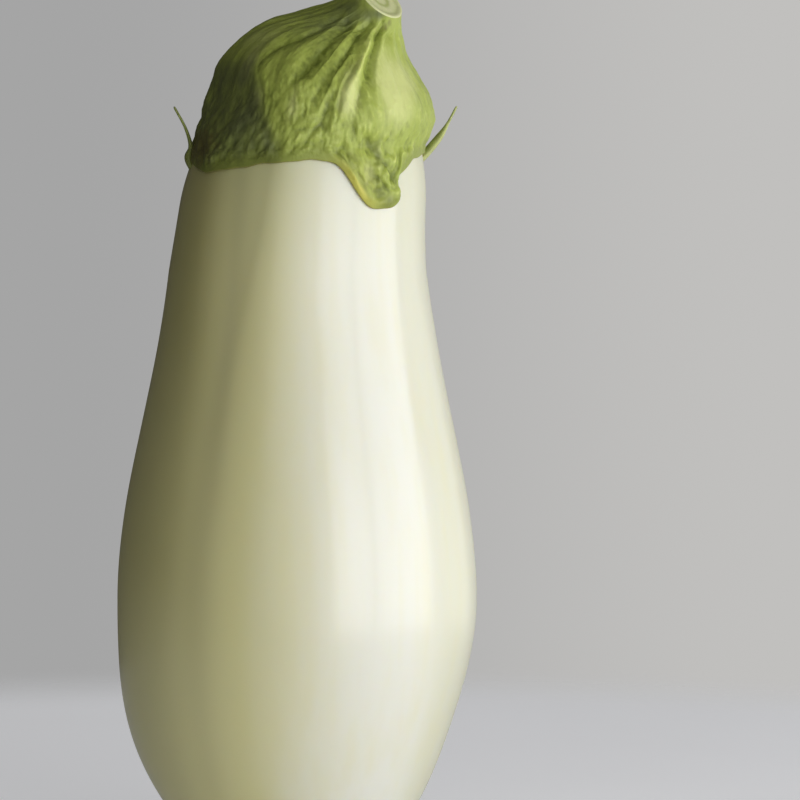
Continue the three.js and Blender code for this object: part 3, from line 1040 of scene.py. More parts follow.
@dataclass
class CalyxCap:
    """The calyx: five lobes over the crown, drawn up in pleats to a short stalk with a slanting cut."""

    fruit: FruitShape
    tissue: SepalTissue = field(default_factory=SepalTissue)
    gap: float = 0.35
    margin_thickness: float = 0.85
    edge_thickness: float = 0.6
    edge_gap: float = 0.08
    bead_swell: float = 0.08
    belt_swell: float = 0.35
    collar_level: float = 151.6
    edge_level: float = 149.5
    columns: int = 560
    front_density: float = 0.3
    lining_rows: int = 9
    rim_rows: int = 10
    margin_rows: int = 34
    cap_rows: int = 108
    pleats: int = 12
    pleat_depth: float = 0.8
    pleat_sway: tuple[tuple[float, float, float], ...] = ((2.0, 0.7, 0.9), (3.0, 2.4, 0.5))
    pleat_twist: float = 0.6
    pleat_sharpness: float = 1.4
    flank_azimuth: float = -62.0
    flank_half_width: float = 42.0
    front_azimuth: float = 8.0
    front_reach: tuple[float, float] = (30.0, 100.0)
    fold_softness: float = 0.12
    fold_top: float = 0.35
    fold_fall: float = 1.25
    crumple_depth: float = 0.6
    crumple_width: float = 1.8
    dent_depth: float = 0.5
    dent_width: float = 6.5
    vein_depth: float = 0.07
    vein_width: float = 1.4
    cell_middle: float = 0.42
    girth: float = 24.0
    hollow_azimuth: float = -65.0
    edge_waves: tuple[tuple[float, float, float], ...] = ((17, 80, 0.1), (29, 0, 0.07))
    lobes: tuple[Lobe, ...] = (
        Lobe(-54, 2.9, (20, 34), (2, 1.7)),
        Lobe(41, 5.1, (19.4, 8.4), (3, 7)),
        Lobe(41, 5.2, (19.4, 16), (3, 2)),
        Lobe(92, -0.8, (16, 16), (2, 2)),
        Lobe(124, 5.5, (17, 19), (2, 2)),
        Lobe(166, 9, (18, 18), (2, 2)),
        Lobe(226, 8, (20, 20), (2, 2)),
    )
    sections: tuple[Section, ...] = (
        Section((5.05, -0.9, 157.2), 24.25, 0.01, 0.01),
        Section((5.4, -1.1, 162.6), 22.9, 0.04, 0.03),
        Section((5.4, -1.3, 167.6), 20.6, 0.08, 0.06),
        Section((6.6, -1.6, 171.9), 17.2, 0.11, 0.1),
        Section((8.6, -2, 175.0), 14.3, 0.13, 0.14),
        Section((12.0, -2.6, 177.1), 10.5, 0.19, 0.2),
        Section((14.8, -3.4, 178.4), 7.9, 0.29, 0.3),
        Section((16.7, -4.3, 179.8), 6.3, 0.46, 0.42),
        Section((18.1, -5.2, 181.8), 5.6, 0.86, 0.62),
    )
    front_lean: Lean = Lean(
        azimuth=46,
        half_width=7,
        swing=3.0,
        end_level=141.3,
        end_reach=2.0,
        root_level=145.2,
        root_reach=1.8,
        root_share=0.6,
    )
    hollow: Hollow = Hollow(
        border=(
            (-2, 147.0), (-9, 151.0), (-19, 157.0), (-28, 163.4), (-33, 167.2), (-38, 171.0), (-42, 176.0),
        ),
        far_side=-90,
        low=157,
        high=172,
        depth=2.0,
    )
    cut_profile: tuple[tuple[float, float], ...] = (
        (0.985, 0.2), (0.94, 0.32), (0.87, 0.26), (0.8, 0.08),
        (0.7, 0.0), (0.55, 0.06), (0.4, 0.02), (0.22, -0.1),
    )
    folds: tuple[Fold, ...] = (
        Fold(FoldKind.CREASE, (
            (-45, 178.7, 0.9, 0.3), (-35, 177, 1.1, 0.55), (-27, 175, 1.2, 0.65), (-30.5, 173.3, 1.2, 0.65),
            (-35.4, 171.6, 1.1, 0.55), (-38, 169, 1.1, 0.45), (-36.4, 166.8, 1, 0.35), (-32, 163.3, 1, 0.2),
            (-28, 160, 0.8, 0.05),
        )),
        Fold(FoldKind.CREASE, (
            (-24, 177, 1.3, 0.7), (-9, 175.3, 1.3, 0.9), (-3, 172.2, 1.5, 0.95), (-5, 169.1, 1.7, 0.9),
            (-10, 166.2, 1.7, 0.7), (-15, 164, 1.5, 0.4), (-18, 162, 1.4, 0.1),
        )),
        Fold(FoldKind.CREASE, (
            (0, 177, 0.8, 0.6), (7.5, 175.3, 0.9, 0.7), (16.5, 172.2, 1, 0.7), (12.8, 169.2, 1.1, 0.6),
            (6.5, 166.2, 1.3, 0.75), (1, 163, 1.4, 0.65), (-2, 160.3, 1.3, 0.5), (-4, 157, 1.2, 0.1),
        )),
        Fold(FoldKind.CREASE, (
            (19.5, 169.7, 0.7, 0.1), (13.5, 166.3, 0.8, 0.35), (9.9, 163.3, 0.8, 0.4),
            (5.8, 160.2, 0.8, 0.45), (3.1, 156.9, 0.8, 0.35), (1, 154, 0.8, 0.1),
        )),
        Fold(FoldKind.CREST, (
            (14.1, 177, 0.7, 0.4), (20.1, 175.3, 0.9, 0.6), (30.8, 172.2, 0.9, 0.8), (28, 169.2, 0.9, 1),
            (23, 166.1, 1.2, 0.95), (17, 163.1, 1.4, 0.75), (14.2, 160.1, 1.4, 0.5), (12, 157, 1.3, 0.25),
            (9, 154, 1.2, 0.05),
        )),
        Fold(FoldKind.CREASE, (
            (23.5, 168.7, 0.4, 0.1), (19, 166.2, 0.4, 0.25), (13, 163.2, 0.4, 0.35),
            (11.5, 160.2, 0.4, 0.35), (10.5, 157, 0.4, 0.1),
        )),
        Fold(FoldKind.CREASE, (
            (20.1, 177, 0.6, 0.6), (28.3, 175.4, 0.7, 0.8), (37, 172.3, 0.8, 0.8), (33, 169.2, 0.8, 0.8),
            (29, 166.1, 0.9, 0.65), (23.5, 163.1, 0.8, 0.75), (20.5, 160.1, 0.8, 0.55),
            (19, 156.9, 0.7, 0.3),
        )),
        Fold(FoldKind.CREST, (
            (40, 175.4, 0.6, 0.1), (44, 172.3, 0.7, 0.3), (39.6, 169.1, 0.8, 0.4), (36.5, 166.3, 0.8, 0.4),
            (33.4, 163.3, 0.8, 0.35), (31, 160, 0.8, 0.15),
        )),
        Fold(FoldKind.CREASE, (
            (29, 153.6, 0.9, 0.2), (32, 152.4, 1.2, 0.5), (35, 150.8, 1.0, 0.6), (38, 149.3, 0.6, 0.5),
            (42, 147.3, 0.5, 0.5), (46, 145.4, 0.5, 0.5), (48, 143.2, 0.5, 0.4), (46.5, 141.4, 0.4, 0.3),
        )),
        Fold(FoldKind.CREST, (
            (13, 149.5, 0.8, 0.1), (18.5, 148.2, 0.9, 0.3), (24, 145.5, 0.9, 0.4), (28.5, 142.7, 0.9, 0.4),
            (34, 140.6, 0.8, 0.3), (42, 140, 0.8, 0.2),
        )),
        Fold(FoldKind.CREASE, (
            (19, 151, 0.6, 0.1), (25, 148.4, 0.6, 0.25), (30, 145.8, 0.6, 0.35), (37, 142.8, 0.7, 0.4),
        )),
    )
    patches: tuple[Patch, ...] = (
        *patches_of(
            PatchKind.BROWNED,
            (-72, 150.5, 24, 4.5, 1.2), (-60, 155, 14, 4, 0.4), (122, 150, 12, 4, 0.7),
            (-150, 146, 14, 3, 0.8), (34, 176.3, 15, 1.9, 0.95),
        ),
        *patches_of(
            PatchKind.YELLOWED,
            (25, 143.5, 11, 6, 1.3), (130, 146, 14, 5, 0.8),
        ),
        # Painted shade where the cap lies in shade.
        *patches_of(
            PatchKind.DULL,
            (-30, 176.5, 18, 2.4, 0.9), (-52, 180, 24, 2.5, 1.1), (5, 179.0, 26, 2, 1.1),
            (-11, 173.0, 8, 2.2, 0.45), (-40, 157, 9, 4, 0.4), (41, 140.0, 5, 1.6, 1.1),
            (23, 148.3, 5, 2.2, 0.5), (37, 148.2, 2.5, 2.2, 0.6), (-15, 154, 6, 4, 0.4),
            (-23, 160, 3, 4, 0.3), (-68, 165, 6, 5, 0.25), (36, 151, 3.5, 3, 0.5),
        ),
        # Painted light: lighter patches where light falls on the cap.
        *patches_of(
            PatchKind.PALE,
            (47, 163.5, 12, 8, 0.9), (66, 166, 16, 5, 0.6), (40, 161, 8, 7, 0.3), (19, 163, 5, 5, 0.8),
            (13.5, 160.5, 4, 3, 0.6), (2.3, 156, 4, 2.5, 0.3), (-12, 160, 4, 4, 0.5),
            (-62, 174, 20, 3.5, 0.4), (-33, 161, 5, 4, 0.5), (-48, 167.5, 9, 4.5, 0.6),
            (31, 146, 4, 3, 0.5),
        ),
        *patches_of(
            PatchKind.CALM,
            (52, 165, 20, 12, 0.95), (94, 160, 34, 14, 0.6), (-60, 165, 34, 12, 0.7),
            (38, 143.5, 11, 6, -0.75),
        ),
    )
    tips: tuple[Tip, ...] = (
        Tip(
            path=(
                (-20.4, -3.9, 147), (-21.4, -4.1, 149), (-21, -4.3, 151.3),
                (-22, -4.8, 155), (-24.4, -5.4, 159.6),
            ),
            width=(4.6, 4, 1.8, 0.8, 0.5),
            facing=(-1, 0, 0.2),
            dull=0.55,
            pale=0.3,
        ),
        Tip(
            path=(
                (25.8, 7, 148), (27.9, 8, 150), (30.4, 8.9, 153),
                (32.2, 9.9, 155.8), (34.2, 11, 159.5),
            ),
            width=(4, 3.4, 2.8, 0.9, 0.5),
            facing=(0.8, 0.3, -0.5),
            dull=0.35,
            pale=0.95,
        ),
        Tip(
            path=(
                (8.4, 23.9, 143.4), (8.9, 25.7, 141.6), (9.6, 27.9, 142),
                (10.4, 29.3, 144.6), (11, 29.6, 147.8),
            ),
            width=(6, 4.6, 3, 1.6, 0.7),
            facing=(0.2, 1, -0.4),
        ),
        Tip(
            path=(
                (-15.4, 16.9, 143.6), (-17, 18.4, 141), (-18.4, 19.6, 138.2),
                (-19.8, 20.8, 136.2), (-21.6, 22.2, 135.8),
            ),
            width=(6, 4.6, 3, 1.6, 0.7),
            facing=(-0.6, 0.8, 0.2),
        ),
    )
    tip_columns: int = 20
    tip_rows: int = 60
    tip_end_rings: int = 3
    tip_flatness: float = 0.4
    tip_least_half_thickness: float = 0.15
    tip_end_share: float = 0.04

    def edge(self, azimuth: np.ndarray) -> np.ndarray:
        """Level of the calyx's lower edge, for azimuths in degrees."""
        wave = sum(high * np.sin(np.radians(n * azimuth + phase)) for n, phase, high in self.edge_waves)
        return self.edge_level + wave - sum(lobe.hang(azimuth) for lobe in self.lobes)

    def on_crown(self, azimuth: np.ndarray, level: np.ndarray, grow: Value) -> np.ndarray:
        """Points over the crown by azimuth in degrees, level and height above the skin, with the lean."""
        turned = azimuth + self.front_lean.turn(azimuth, level)
        return self.fruit.on_skin(np.radians(turned), level, grow)

    def azimuths(self) -> np.ndarray:
        """Azimuths of the columns in degrees, set closer together at the front."""
        turn = np.linspace(-math.pi, math.pi, self.columns, endpoint=False)
        return np.degrees(turn - self.front_density * np.sin(turn))

    def lining(self, azimuth: np.ndarray) -> np.ndarray:
        """Rows of points against the crown, from its top down to the edge.

        Args:
            azimuth: Azimuths of the columns in degrees.

        Returns:
            The points by row and column, with x, y and z last.
        """
        top = self.fruit.crown_start + self.fruit.crown_height + self.gap
        share = np.cos(np.linspace(0, math.pi / 2, self.lining_rows + 1))[1:, None]
        level = self.edge(azimuth) * (1 - share) + top * share
        gap = self.edge_gap + (self.gap - self.edge_gap) * rising(share, 0.0, 0.2)
        return self.on_crown(azimuth, level, gap)

    def margin(self, azimuth: np.ndarray) -> np.ndarray:
        """Rows of points round the rolled edge and up the lobes to the collar.

        Args:
            azimuth: Azimuths of the columns in degrees.

        Returns:
            The points by row and column, with x, y and z last.
        """
        edge = self.edge(azimuth)
        half = self.edge_thickness / 2
        turn = np.linspace(-math.pi / 2, math.pi / 2, self.rim_rows + 1)[1:, None]
        rim_level = edge - half * np.cos(turn)
        rim = self.on_crown(azimuth, rim_level, self.edge_gap + half * (1 + np.sin(turn)))
        share = np.linspace(0, 1, self.margin_rows + 1)[1:, None]
        reach = self.collar_level - edge
        rise = share * reach
        bead = self.bead_swell * bump((rise - 0.9) / 0.9)
        swell = self.belt_swell * rising(rise, 1.6, 3.4) * rising(share, 1.0, 0.5)
        whole = self.gap + self.margin_thickness
        thin = self.edge_gap + self.edge_thickness
        grow = thin + (whole - thin) * rising(rise, 0.0, 2.4) + (bead + swell) * rising(share, 1.0, 0.8)
        climbing = self.on_crown(azimuth, edge + rise, grow)
        return np.concatenate([rim, climbing])

    def cap(self, azimuth: np.ndarray) -> tuple[np.ndarray, np.ndarray]:
        """The pleated part.

        Args:
            azimuth: Azimuths of the columns in degrees.

        Returns:
            Rows of points from the collar to the cut, and each row's radius.
        """
        across, depth = self.fruit.axis(self.collar_level)
        furrow = self.fruit.furrow_depth * self.fruit.furrow(0.0, self.collar_level)
        radius = self.fruit.radius(0.0, self.collar_level, self.gap + self.margin_thickness) - furrow
        collar = Section((across, depth, self.collar_level), radius, 0, 0)
        sections = (collar, *self.sections)
        share = np.linspace(0, 1, self.cap_rows + 1)[1:]
        shape = smooth_path([(*s.centre, s.radius, s.drop_right, s.drop_front) for s in sections], share)
        centre = shape[:, None, :3]
        radius, drop_right, drop_front = (shape[:, k, None] for k in (3, 4, 5))
        turn = np.radians(azimuth)
        right, back = np.sin(turn)[None], -np.cos(turn)[None]
        lift = drop_front * back - drop_right * right
        direction = np.stack(np.broadcast_arrays(right, back, lift), axis=-1)
        direction /= np.linalg.norm(direction, axis=-1, keepdims=True)
        wave = self.fruit.furrow_depth * (1 - share[:, None]) * self.fruit.furrow(turn, self.collar_level)
        level = centre[..., 2] + direction[..., 2] * radius
        wave = wave - self.hollow.press(azimuth[None], level)
        return centre + direction * (radius + wave)[..., None], radius[:, 0]

    def cut(self, rim: np.ndarray) -> np.ndarray:
        """Rows of points over the cut end.

        Args:
            rim: The last row of the cap.

        Returns:
            The points by row and column, with x, y and z last.
        """
        last = self.sections[-1]
        centre = np.array(last.centre)
        axis = np.array([last.drop_right, -last.drop_front, 1.0])
        axis /= np.linalg.norm(axis)
        return np.stack([centre + (rim - centre) * share + axis * lift for share, lift in self.cut_profile])

    def base_mesh(self) -> tuple[bpy.types.Mesh, np.ndarray, int]:
        """Makes the cap before its relief.

        Returns:
            The closed mesh with what its relief and colours go by, its rows, and the first outer row.
        """
        azimuth = self.azimuths()
        lining = self.lining(azimuth)
        margin = self.margin(azimuth)
        cap, radius = self.cap(azimuth)
        face = self.cut(cap[-1])
        rows = np.concatenate([lining, margin, cap, face])
        first_outer = len(lining) + self.rim_rows // 2
        length = np.zeros(rows.shape[:2])
        length[1:] = np.cumsum(np.linalg.norm(np.diff(rows, axis=0), axis=2), axis=0)
        above_edge = length - length[first_outer]
        count = len(rows)
        climb = np.zeros(count)
        cap_from = len(lining) + len(margin)
        climb[cap_from:] = np.minimum(np.arange(1, count - cap_from + 1) / self.cap_rows, 1)
        pleated = slice(cap_from, cap_from + self.cap_rows)
        pleating = np.zeros(count)
        pleating[pleated] = np.sin(math.pi * climb[pleated] ** 0.8) * (radius / radius[0] + 0.25)
        cut = np.zeros(count)
        cut[-len(face) :] = [1 - 0.9 * share for share, _ in self.cut_profile]
        outer = np.zeros(count)
        outer[first_outer : count - len(face)] = 1
        around = np.broadcast_to(azimuth, rows.shape[:2])
        patches = {
            kind.value: sum(patch.share(around, rows[..., 2]) for patch in self.patches if patch.kind is kind)
            for kind in PatchKind
        }
        # The hollow side gets painted shade.
        patches[PatchKind.DULL.value] += self.hollow.shade(around, rows[..., 2])
        crown = self.fruit.crown_start + self.fruit.crown_height
        top = np.array([*self.fruit.axis(crown), crown + self.gap])
        tip = rows[-1].mean(axis=0)
        mesh = closed_skin("calyx_cap", rows, top, tip)
        for name, value in {
            "azimuth": around,
            "above_edge": above_edge,
            "climb": climb[:, None],
            "pleating": pleating[:, None],
            "cut": cut[:, None],
            "outer": outer[:, None],
            **patches,
        }.items():
            flat = np.broadcast_to(value, rows.shape[:2]).ravel()
            ends = (0.0, 1.0 if name == "cut" else 0.0)
            store(mesh, name, np.concatenate([[ends[0]], flat, [ends[1]]]))
        return mesh, rows, first_outer

    def routes(self, kind: FoldKind, rows: np.ndarray, first_outer: int) -> bpy.types.Object:
        """Lays the folds of a kind along the cap.

        Args:
            kind: Which folds.
            rows: The cap's rows of points.
            first_outer: The first row of its outer side.

        Returns:
            An object of edges that runs along each fold, with the fold's half width and height at each point.
        """
        azimuth = self.azimuths()
        outside = rows[first_outer : -len(self.cut_profile)]
        points, edges, widths, heights = [], [], [], []
        for fold in self.folds:
            if fold.kind is not kind:
                continue
            route = smooth_path(fold.route, np.linspace(0, 1, 24 * len(fold.route)))
            for at, level, half_width, height in route:
                column = int(np.abs(wrapped(azimuth - at)).argmin())
                strip = outside[:, column]
                points.append([np.interp(level, strip[:, 2], strip[:, k]) for k in range(3)])
                widths.append(half_width * MM)
                heights.append(height)
            start = len(points) - len(route)
            edges += [(start + k, start + k + 1) for k in range(len(route) - 1)]
        mesh = bpy.data.meshes.new(f"{kind.name.lower()}_routes")
        mesh.from_pydata((np.array(points) * MM).tolist(), edges, [])
        store(mesh, "half_width", np.array(widths))
        store(mesh, "height", np.array(heights))
        return bpy.data.objects.new(mesh.name, mesh)

    def fold_height(self, recipe: Recipe, kind: FoldKind, routes: bpy.types.Object) -> Field:
        """Height in millimetres that the folds of a kind give the surface.

        Args:
            recipe: The tree that shapes the cap.
            kind: Which folds.
            routes: The edges that they run along.

        Returns:
            The height at each point.
        """
        tree = recipe.tree
        source = recipe.input(f"{kind.name.lower()} routes", routes, "NodeSocketObject")
        lines = add_node(tree, "GeometryNodeObjectInfo", {"Object": source}).outputs["Geometry"]
        near = add_node(tree, "GeometryNodeProximity", {0: lines}, target_element="EDGES")
        nearest = add_node(tree, "GeometryNodeSampleNearest", {"Geometry": lines}, domain="POINT")
        sizes = []
        for name in ("half_width", "height"):
            inputs = {"Geometry": lines, "Value": stored(tree, name), "Index": nearest.outputs["Index"]}
            node = add_node(tree, "GeometryNodeSampleIndex", inputs, data_type="FLOAT", domain="POINT")
            sizes.append(Field(tree, node.outputs[0]))
        half_width, height = sizes
        reach = Field(tree, near.outputs["Distance"]) / half_width
        rounded = sqrt(reach * reach + self.fold_softness) - self.fold_top
        return exp(rounded * -self.fold_fall) * height * kind.value

    def pleat_height(self, recipe: Recipe, turn: Field, climb: Field) -> Field:
        """Height of the pleats that gather into the stalk.

        Args:
            recipe: The tree that shapes the cap.
            turn: Azimuth in degrees.
            climb: Share of the way from the collar to the cut.

        Returns:
            The height in millimetres.
        """
        azimuth = turn * DEGREE
        sway = sum(sin(azimuth * times + phase) * share for times, phase, share in self.pleat_sway)
        uneven = sway + climb * self.pleat_twist
        count = recipe.input("pleats", float(self.pleats))
        valley = power(size_of(sin(azimuth * count + uneven)), self.pleat_sharpness)
        flank = bump(wrapped(turn - self.flank_azimuth) / self.flank_half_width)
        strength = (cos(azimuth + 0.4) * 0.35 + 0.65) * (1.0 - flank * 0.75)
        beside_front = rising(size_of(wrapped(turn - self.front_azimuth)), *self.front_reach) * 0.85 + 0.15
        pleats = (1.0 - valley * 2.0) * strength * beside_front * stored(recipe.tree, "pleating")
        return pleats * recipe.input("pleat depth", self.pleat_depth) * (rising(climb, 0.2, 0.7) * 0.7 + 0.3)

    def dent_height(self, recipe: Recipe, around: Pair, above: Field, climb: Field) -> Field:
        """Height of the wide, shallow dents.

        Args:
            recipe: The tree that shapes the cap.
            around: Place round the cap, across and along, in millimetres.
            above: Way up from its edge in millimetres.
            climb: Share of the way from the collar to the cut.

        Returns:
            The height in millimetres.
        """
        wound = recipe.vector(*around, above * 0.6)
        dents = recipe.noise(wound, 1.0 / recipe.input("dent width", self.dent_width), detail=1.0)
        dents = dents * recipe.input("dent depth", self.dent_depth) * 2.0
        return dents * rising(above, 2.0, 7.0) * rising(climb, 1.0, 0.6)

    def crumple_height(self, recipe: Recipe, around: Pair, above: Field, climb: Field) -> Field:
        """Height of the crumples and the finer grain, strongest in the belt above the edge.

        Args:
            recipe: The tree that shapes the cap.
            around: Place round the cap, across and along, in millimetres.
            above: Way up from its edge in millimetres.
            climb: Share of the way from the collar to the cut.

        Returns:
            The height in millimetres.
        """
        across, along = around
        calm = stored(recipe.tree, "calm")
        width = recipe.input("crumple width", self.crumple_width)
        sway = recipe.noise(recipe.vector(across, along, above), 0.5 / width, detail=1.0) * width * 1.6
        swayed = (across + sway, along - sway)
        lumps = self.cell_middle - recipe.cells(recipe.vector(*swayed, above * 1.1 + sway), 0.72 / width)
        grains = self.cell_middle - recipe.cells(recipe.vector(*swayed, above * 0.6 + sway), 1.7 / width)
        soft = recipe.noise(recipe.vector(across, along, above * 0.8), 0.8 / width, detail=2.0)
        belt = rising(above, 0.6, 2.4) * (rising(climb, 0.42, 0.04) * 0.85 + 0.15) * rising(climb, 1.0, 0.7)
        crumpled = (lumps * 1.3 + soft * 1.3) * belt * (1.0 - calm * 0.9)
        belt = rising(above, 1.0, 2.6) * (rising(climb, 0.6, 0.15) * 0.8 + 0.2) * rising(climb, 0.95, 0.6)
        grained = grains * belt * (1.0 - calm * 0.8)
        return (crumpled + grained * 0.5) * recipe.input("crumple depth", self.crumple_depth)

    def vein_height(self, recipe: Recipe, around: Pair, above: Field, climb: Field) -> Field:
        """Height of the thin veins that run up the cap, faint on its hollow side.

        Args:
            recipe: The tree that shapes the cap.
            around: Place round the cap, across and along, in millimetres.
            above: Way up from its edge in millimetres.
            climb: Share of the way from the collar to the cut.

        Returns:
            The height in millimetres.
        """
        wound = recipe.vector(*around, above * 0.09)
        veins = recipe.noise(wound, 1.0 / recipe.input("vein width", self.vein_width), detail=1.0)
        from_hollow = wrapped(stored(recipe.tree, "azimuth") - self.hollow_azimuth)
        beside_hollow = rising(size_of(from_hollow), 20.0, 70.0)
        veins = veins * recipe.input("vein depth", self.vein_depth) * (beside_hollow * 1.8 + 0.2)
        return veins * rising(above, 1.0, 4.0) * rising(climb, 1.05, 0.8)

    def relief(self, recipe: Recipe) -> tuple[Field, Field]:
        """Rules for the pleats, dents, crumples and veins.

        Args:
            recipe: The tree that shapes the cap.

        Returns:
            The height of the large forms and of the small ones, in millimetres.
        """
        turn, climb, above = (stored(recipe.tree, name) for name in ("azimuth", "climb", "above_edge"))
        around = (sin(turn * DEGREE) * self.girth, cos(turn * DEGREE) * self.girth)
        where = (recipe, around, above, climb)
        large = self.pleat_height(recipe, turn, climb) + self.dent_height(*where)
        small = self.crumple_height(*where) + self.vein_height(*where)
        return large, small

    def build_cap(self, material: bpy.types.Material) -> bpy.types.Object:
        """Presses the folds, pleats and wrinkles into the cap.

        Args:
            material: The sepals' finish.

        Returns:
            The cap as a plain mesh, with the relief kept for its colours.
        """
        mesh, rows, first_outer = self.base_mesh()
        recipe = Recipe("calyx_relief", shapes_a_mesh=True)
        outer = stored(recipe.tree, "outer")
        laid = [self.routes(kind, rows, first_outer) for kind in FoldKind]
        folds = sum(self.fold_height(recipe, kind, routes) for kind, routes in zip(FoldKind, laid))
        large, small = self.relief(recipe)
        # The relief is kept for painted light and shade on the cap: crests painted paler, folds darker.
        relief_light_and_shade = (small * 1.2 + folds * 0.8 + large * 0.5) * outer
        kept = recipe.keep(recipe.entry.outputs["Geometry"], relief=relief_light_and_shade)
        normal = add_node(recipe.tree, "GeometryNodeInputNormal").outputs[0]
        height = (large + small + folds) * outer
        pressed = recipe.move(kept, offset=recipe.vector_step("SCALE", normal, scale=height * MM))
        recipe.finish(pressed, material)
        piece = recipe.make("calyx_cap", mesh)
        for routes in laid:
            bpy.data.objects.remove(routes)
        return piece

    def tip_path(self, tip: Tip, name: str) -> bpy.types.Object:
        """Lays a tip's path as a curve.

        Args:
            tip: The tip.
            name: What its piece is called.

        Returns:
            The curve, whose radius is half the blade's width in millimetres.
        """
        curve = bpy.data.curves.new(name, "CURVE")
        curve.dimensions = "3D"
        spline = curve.splines.new("POLY")
        rows = smooth_path([(*p, w) for p, w in zip(tip.path, tip.width)], np.linspace(0, 1, 40))
        spline.points.add(len(rows) - 1)
        for point, (x, y, z, width) in zip(spline.points, rows):
            point.co = (x * MM, y * MM, z * MM, 1.0)
            point.radius = width / 2
        return bpy.data.objects.new(f"{name}_path", curve)

    def build_tip(self, tip: Tip, name: str, material: bpy.types.Material) -> bpy.types.Object:
        """Sweeps a blade along a tip's path.

        Args:
            tip: The tip.
            name: What the piece is called.
            material: The sepals' finish.

        Returns:
            The blade as a plain mesh.
        """
        path = self.tip_path(tip, name)
        recipe = Recipe("sepal_tip")
        source = recipe.input("path", path, "NodeSocketObject")
        line = add_node(recipe.tree, "GeometryNodeObjectInfo", {"Object": source}).outputs["Geometry"]
        facing = recipe.input("facing", tip.facing, "NodeSocketVector")
        flatness = recipe.input("flatness", self.tip_flatness)
        least = recipe.input("least half thickness", self.tip_least_half_thickness)
        tube = recipe.tube(self.tip_columns, self.tip_rows, self.tip_end_rings)
        x, y, z = place(recipe.tree)
        radius = add_node(recipe.tree, "GeometryNodeInputRadius").outputs[0]
        inputs = {"Curves": line, "Value": radius, "Factor": z + 0.5}
        sample = add_node(recipe.tree, "GeometryNodeSampleCurve", inputs, mode="FACTOR", data_type="FLOAT")
        half_width = Field(recipe.tree, sample.outputs["Value"])
        towards_end = larger((z - 0.5 + self.tip_end_share) / self.tip_end_share, 0.0)
        rounded = sqrt(larger(1.0 - power(towards_end, 2.0) * 0.9, 0.0))
        tangent = sample.outputs["Tangent"]
        across = recipe.vector_step("NORMALIZE", recipe.vector_step("CROSS_PRODUCT", facing, tangent))
        out = recipe.vector_step("CROSS_PRODUCT", tangent, across)
        sideways = recipe.vector_step("SCALE", across, scale=x * half_width * rounded * MM)
        outwards = recipe.vector_step("SCALE", out, scale=y * (half_width * flatness + least) * rounded * MM)
        offset = recipe.vector_step("ADD", sideways, outwards)
        swept = recipe.move(tube, position=recipe.vector_step("ADD", sample.outputs["Position"], offset))
        withered = rising(z, -0.1, 0.3) * 0.5
        # The tip is painted lighter along its middle and darker towards its sides, as painted light and
        # shade, with the margin colour at its edges.
        kept = recipe.keep(
            swept,
            above_edge=4.0 - power(size_of(x), 3.0) * 3.0,
            relief=0.2 - power(x, 2.0) * 0.5,
            dull=withered + recipe.input("dull", tip.dull),
            pale=recipe.input("pale", tip.pale),
            browned=withered,
        )
        recipe.finish(kept, material)
        piece = recipe.make(name)
        bpy.data.objects.remove(path)
        return piece

    def build(self) -> list[bpy.types.Object]:
        """Builds the cap and its tips.

        Returns:
            The pieces.
        """
        material = self.tissue.make()
        pieces = [self.build_cap(material)]
        pieces += [self.build_tip(tip, f"sepal_tip_{k}", material) for k, tip in enumerate(self.tips, 1)]
        for piece in pieces:
            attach(piece, "root")
            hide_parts("calyx")
        return pieces


def store(mesh: bpy.types.Mesh, name: str, values: np.ndarray) -> None:
    """Stores a number for each point of a mesh."""
    mesh.attributes.new(name, "FLOAT", "POINT").data.foreach_set("value", values.astype(np.float32))


def closed_skin(name: str, rows: np.ndarray, first: np.ndarray, last: np.ndarray) -> bpy.types.Mesh:
    """A closed mesh over rows of points that run round counter-clockwise.

    Args:
        name: The mesh's name.
        rows: The points in millimetres, by row and column.
        first: The point that closes the first row.
        last: The point that closes the last row.

    Returns:
        The mesh, its points in the order first, rows, last.
    """
    count, columns = rows.shape[:2]
    index = 1 + np.arange(count * columns).reshape(count, columns)
    beside = np.roll(index, -1, axis=1)
    quads = np.stack([index[:-1], beside[:-1], beside[1:], index[1:]], axis=-1).reshape(-1, 4)
    end = count * columns + 1
    opening = [(0, b, a) for a, b in zip(index[0].tolist(), beside[0].tolist())]
    closing = [(a, b, end) for a, b in zip(index[-1].tolist(), beside[-1].tolist())]
    points = np.vstack([first, rows.reshape(-1, 3), last]) * MM
    mesh = bpy.data.meshes.new(name)
    mesh.from_pydata(points.tolist(), [], quads.tolist() + opening + closing)
    return mesh


# ---- Studio ----


@dataclass(frozen=True)
class Softbox:
    """A soft white light: where it stands as seen from the object, its size in metres, and its radiance."""

    name: str
    azimuth: float
    elevation: float
    distance: float
    width: float
    height: float
    radiance: float

    def build(self, target: Vector) -> bpy.types.Object:
        """Places the light, turned to the target.

        Args:
            target: Where it shines, in metres.

        Returns:
            The light.
        """
        turn, lift = math.radians(self.azimuth), math.radians(self.elevation)
        away = Vector((math.sin(turn) * math.cos(lift), -math.cos(turn) * math.cos(lift), math.sin(lift)))
        light = bpy.data.lights.new(self.name, "AREA")
        light.shape = "RECTANGLE"
        light.size = self.width
        light.size_y = self.height
        light.energy = self.radiance * math.pi * self.width * self.height
        lamp = bpy.data.objects.new(self.name, light)
        lamp.location = target + away * self.distance
        lamp.rotation_euler = away.to_track_quat("Z", "Y").to_euler()
        lamp.visible_camera = False
        bpy.context.scene.collection.objects.link(lamp)
        return lamp


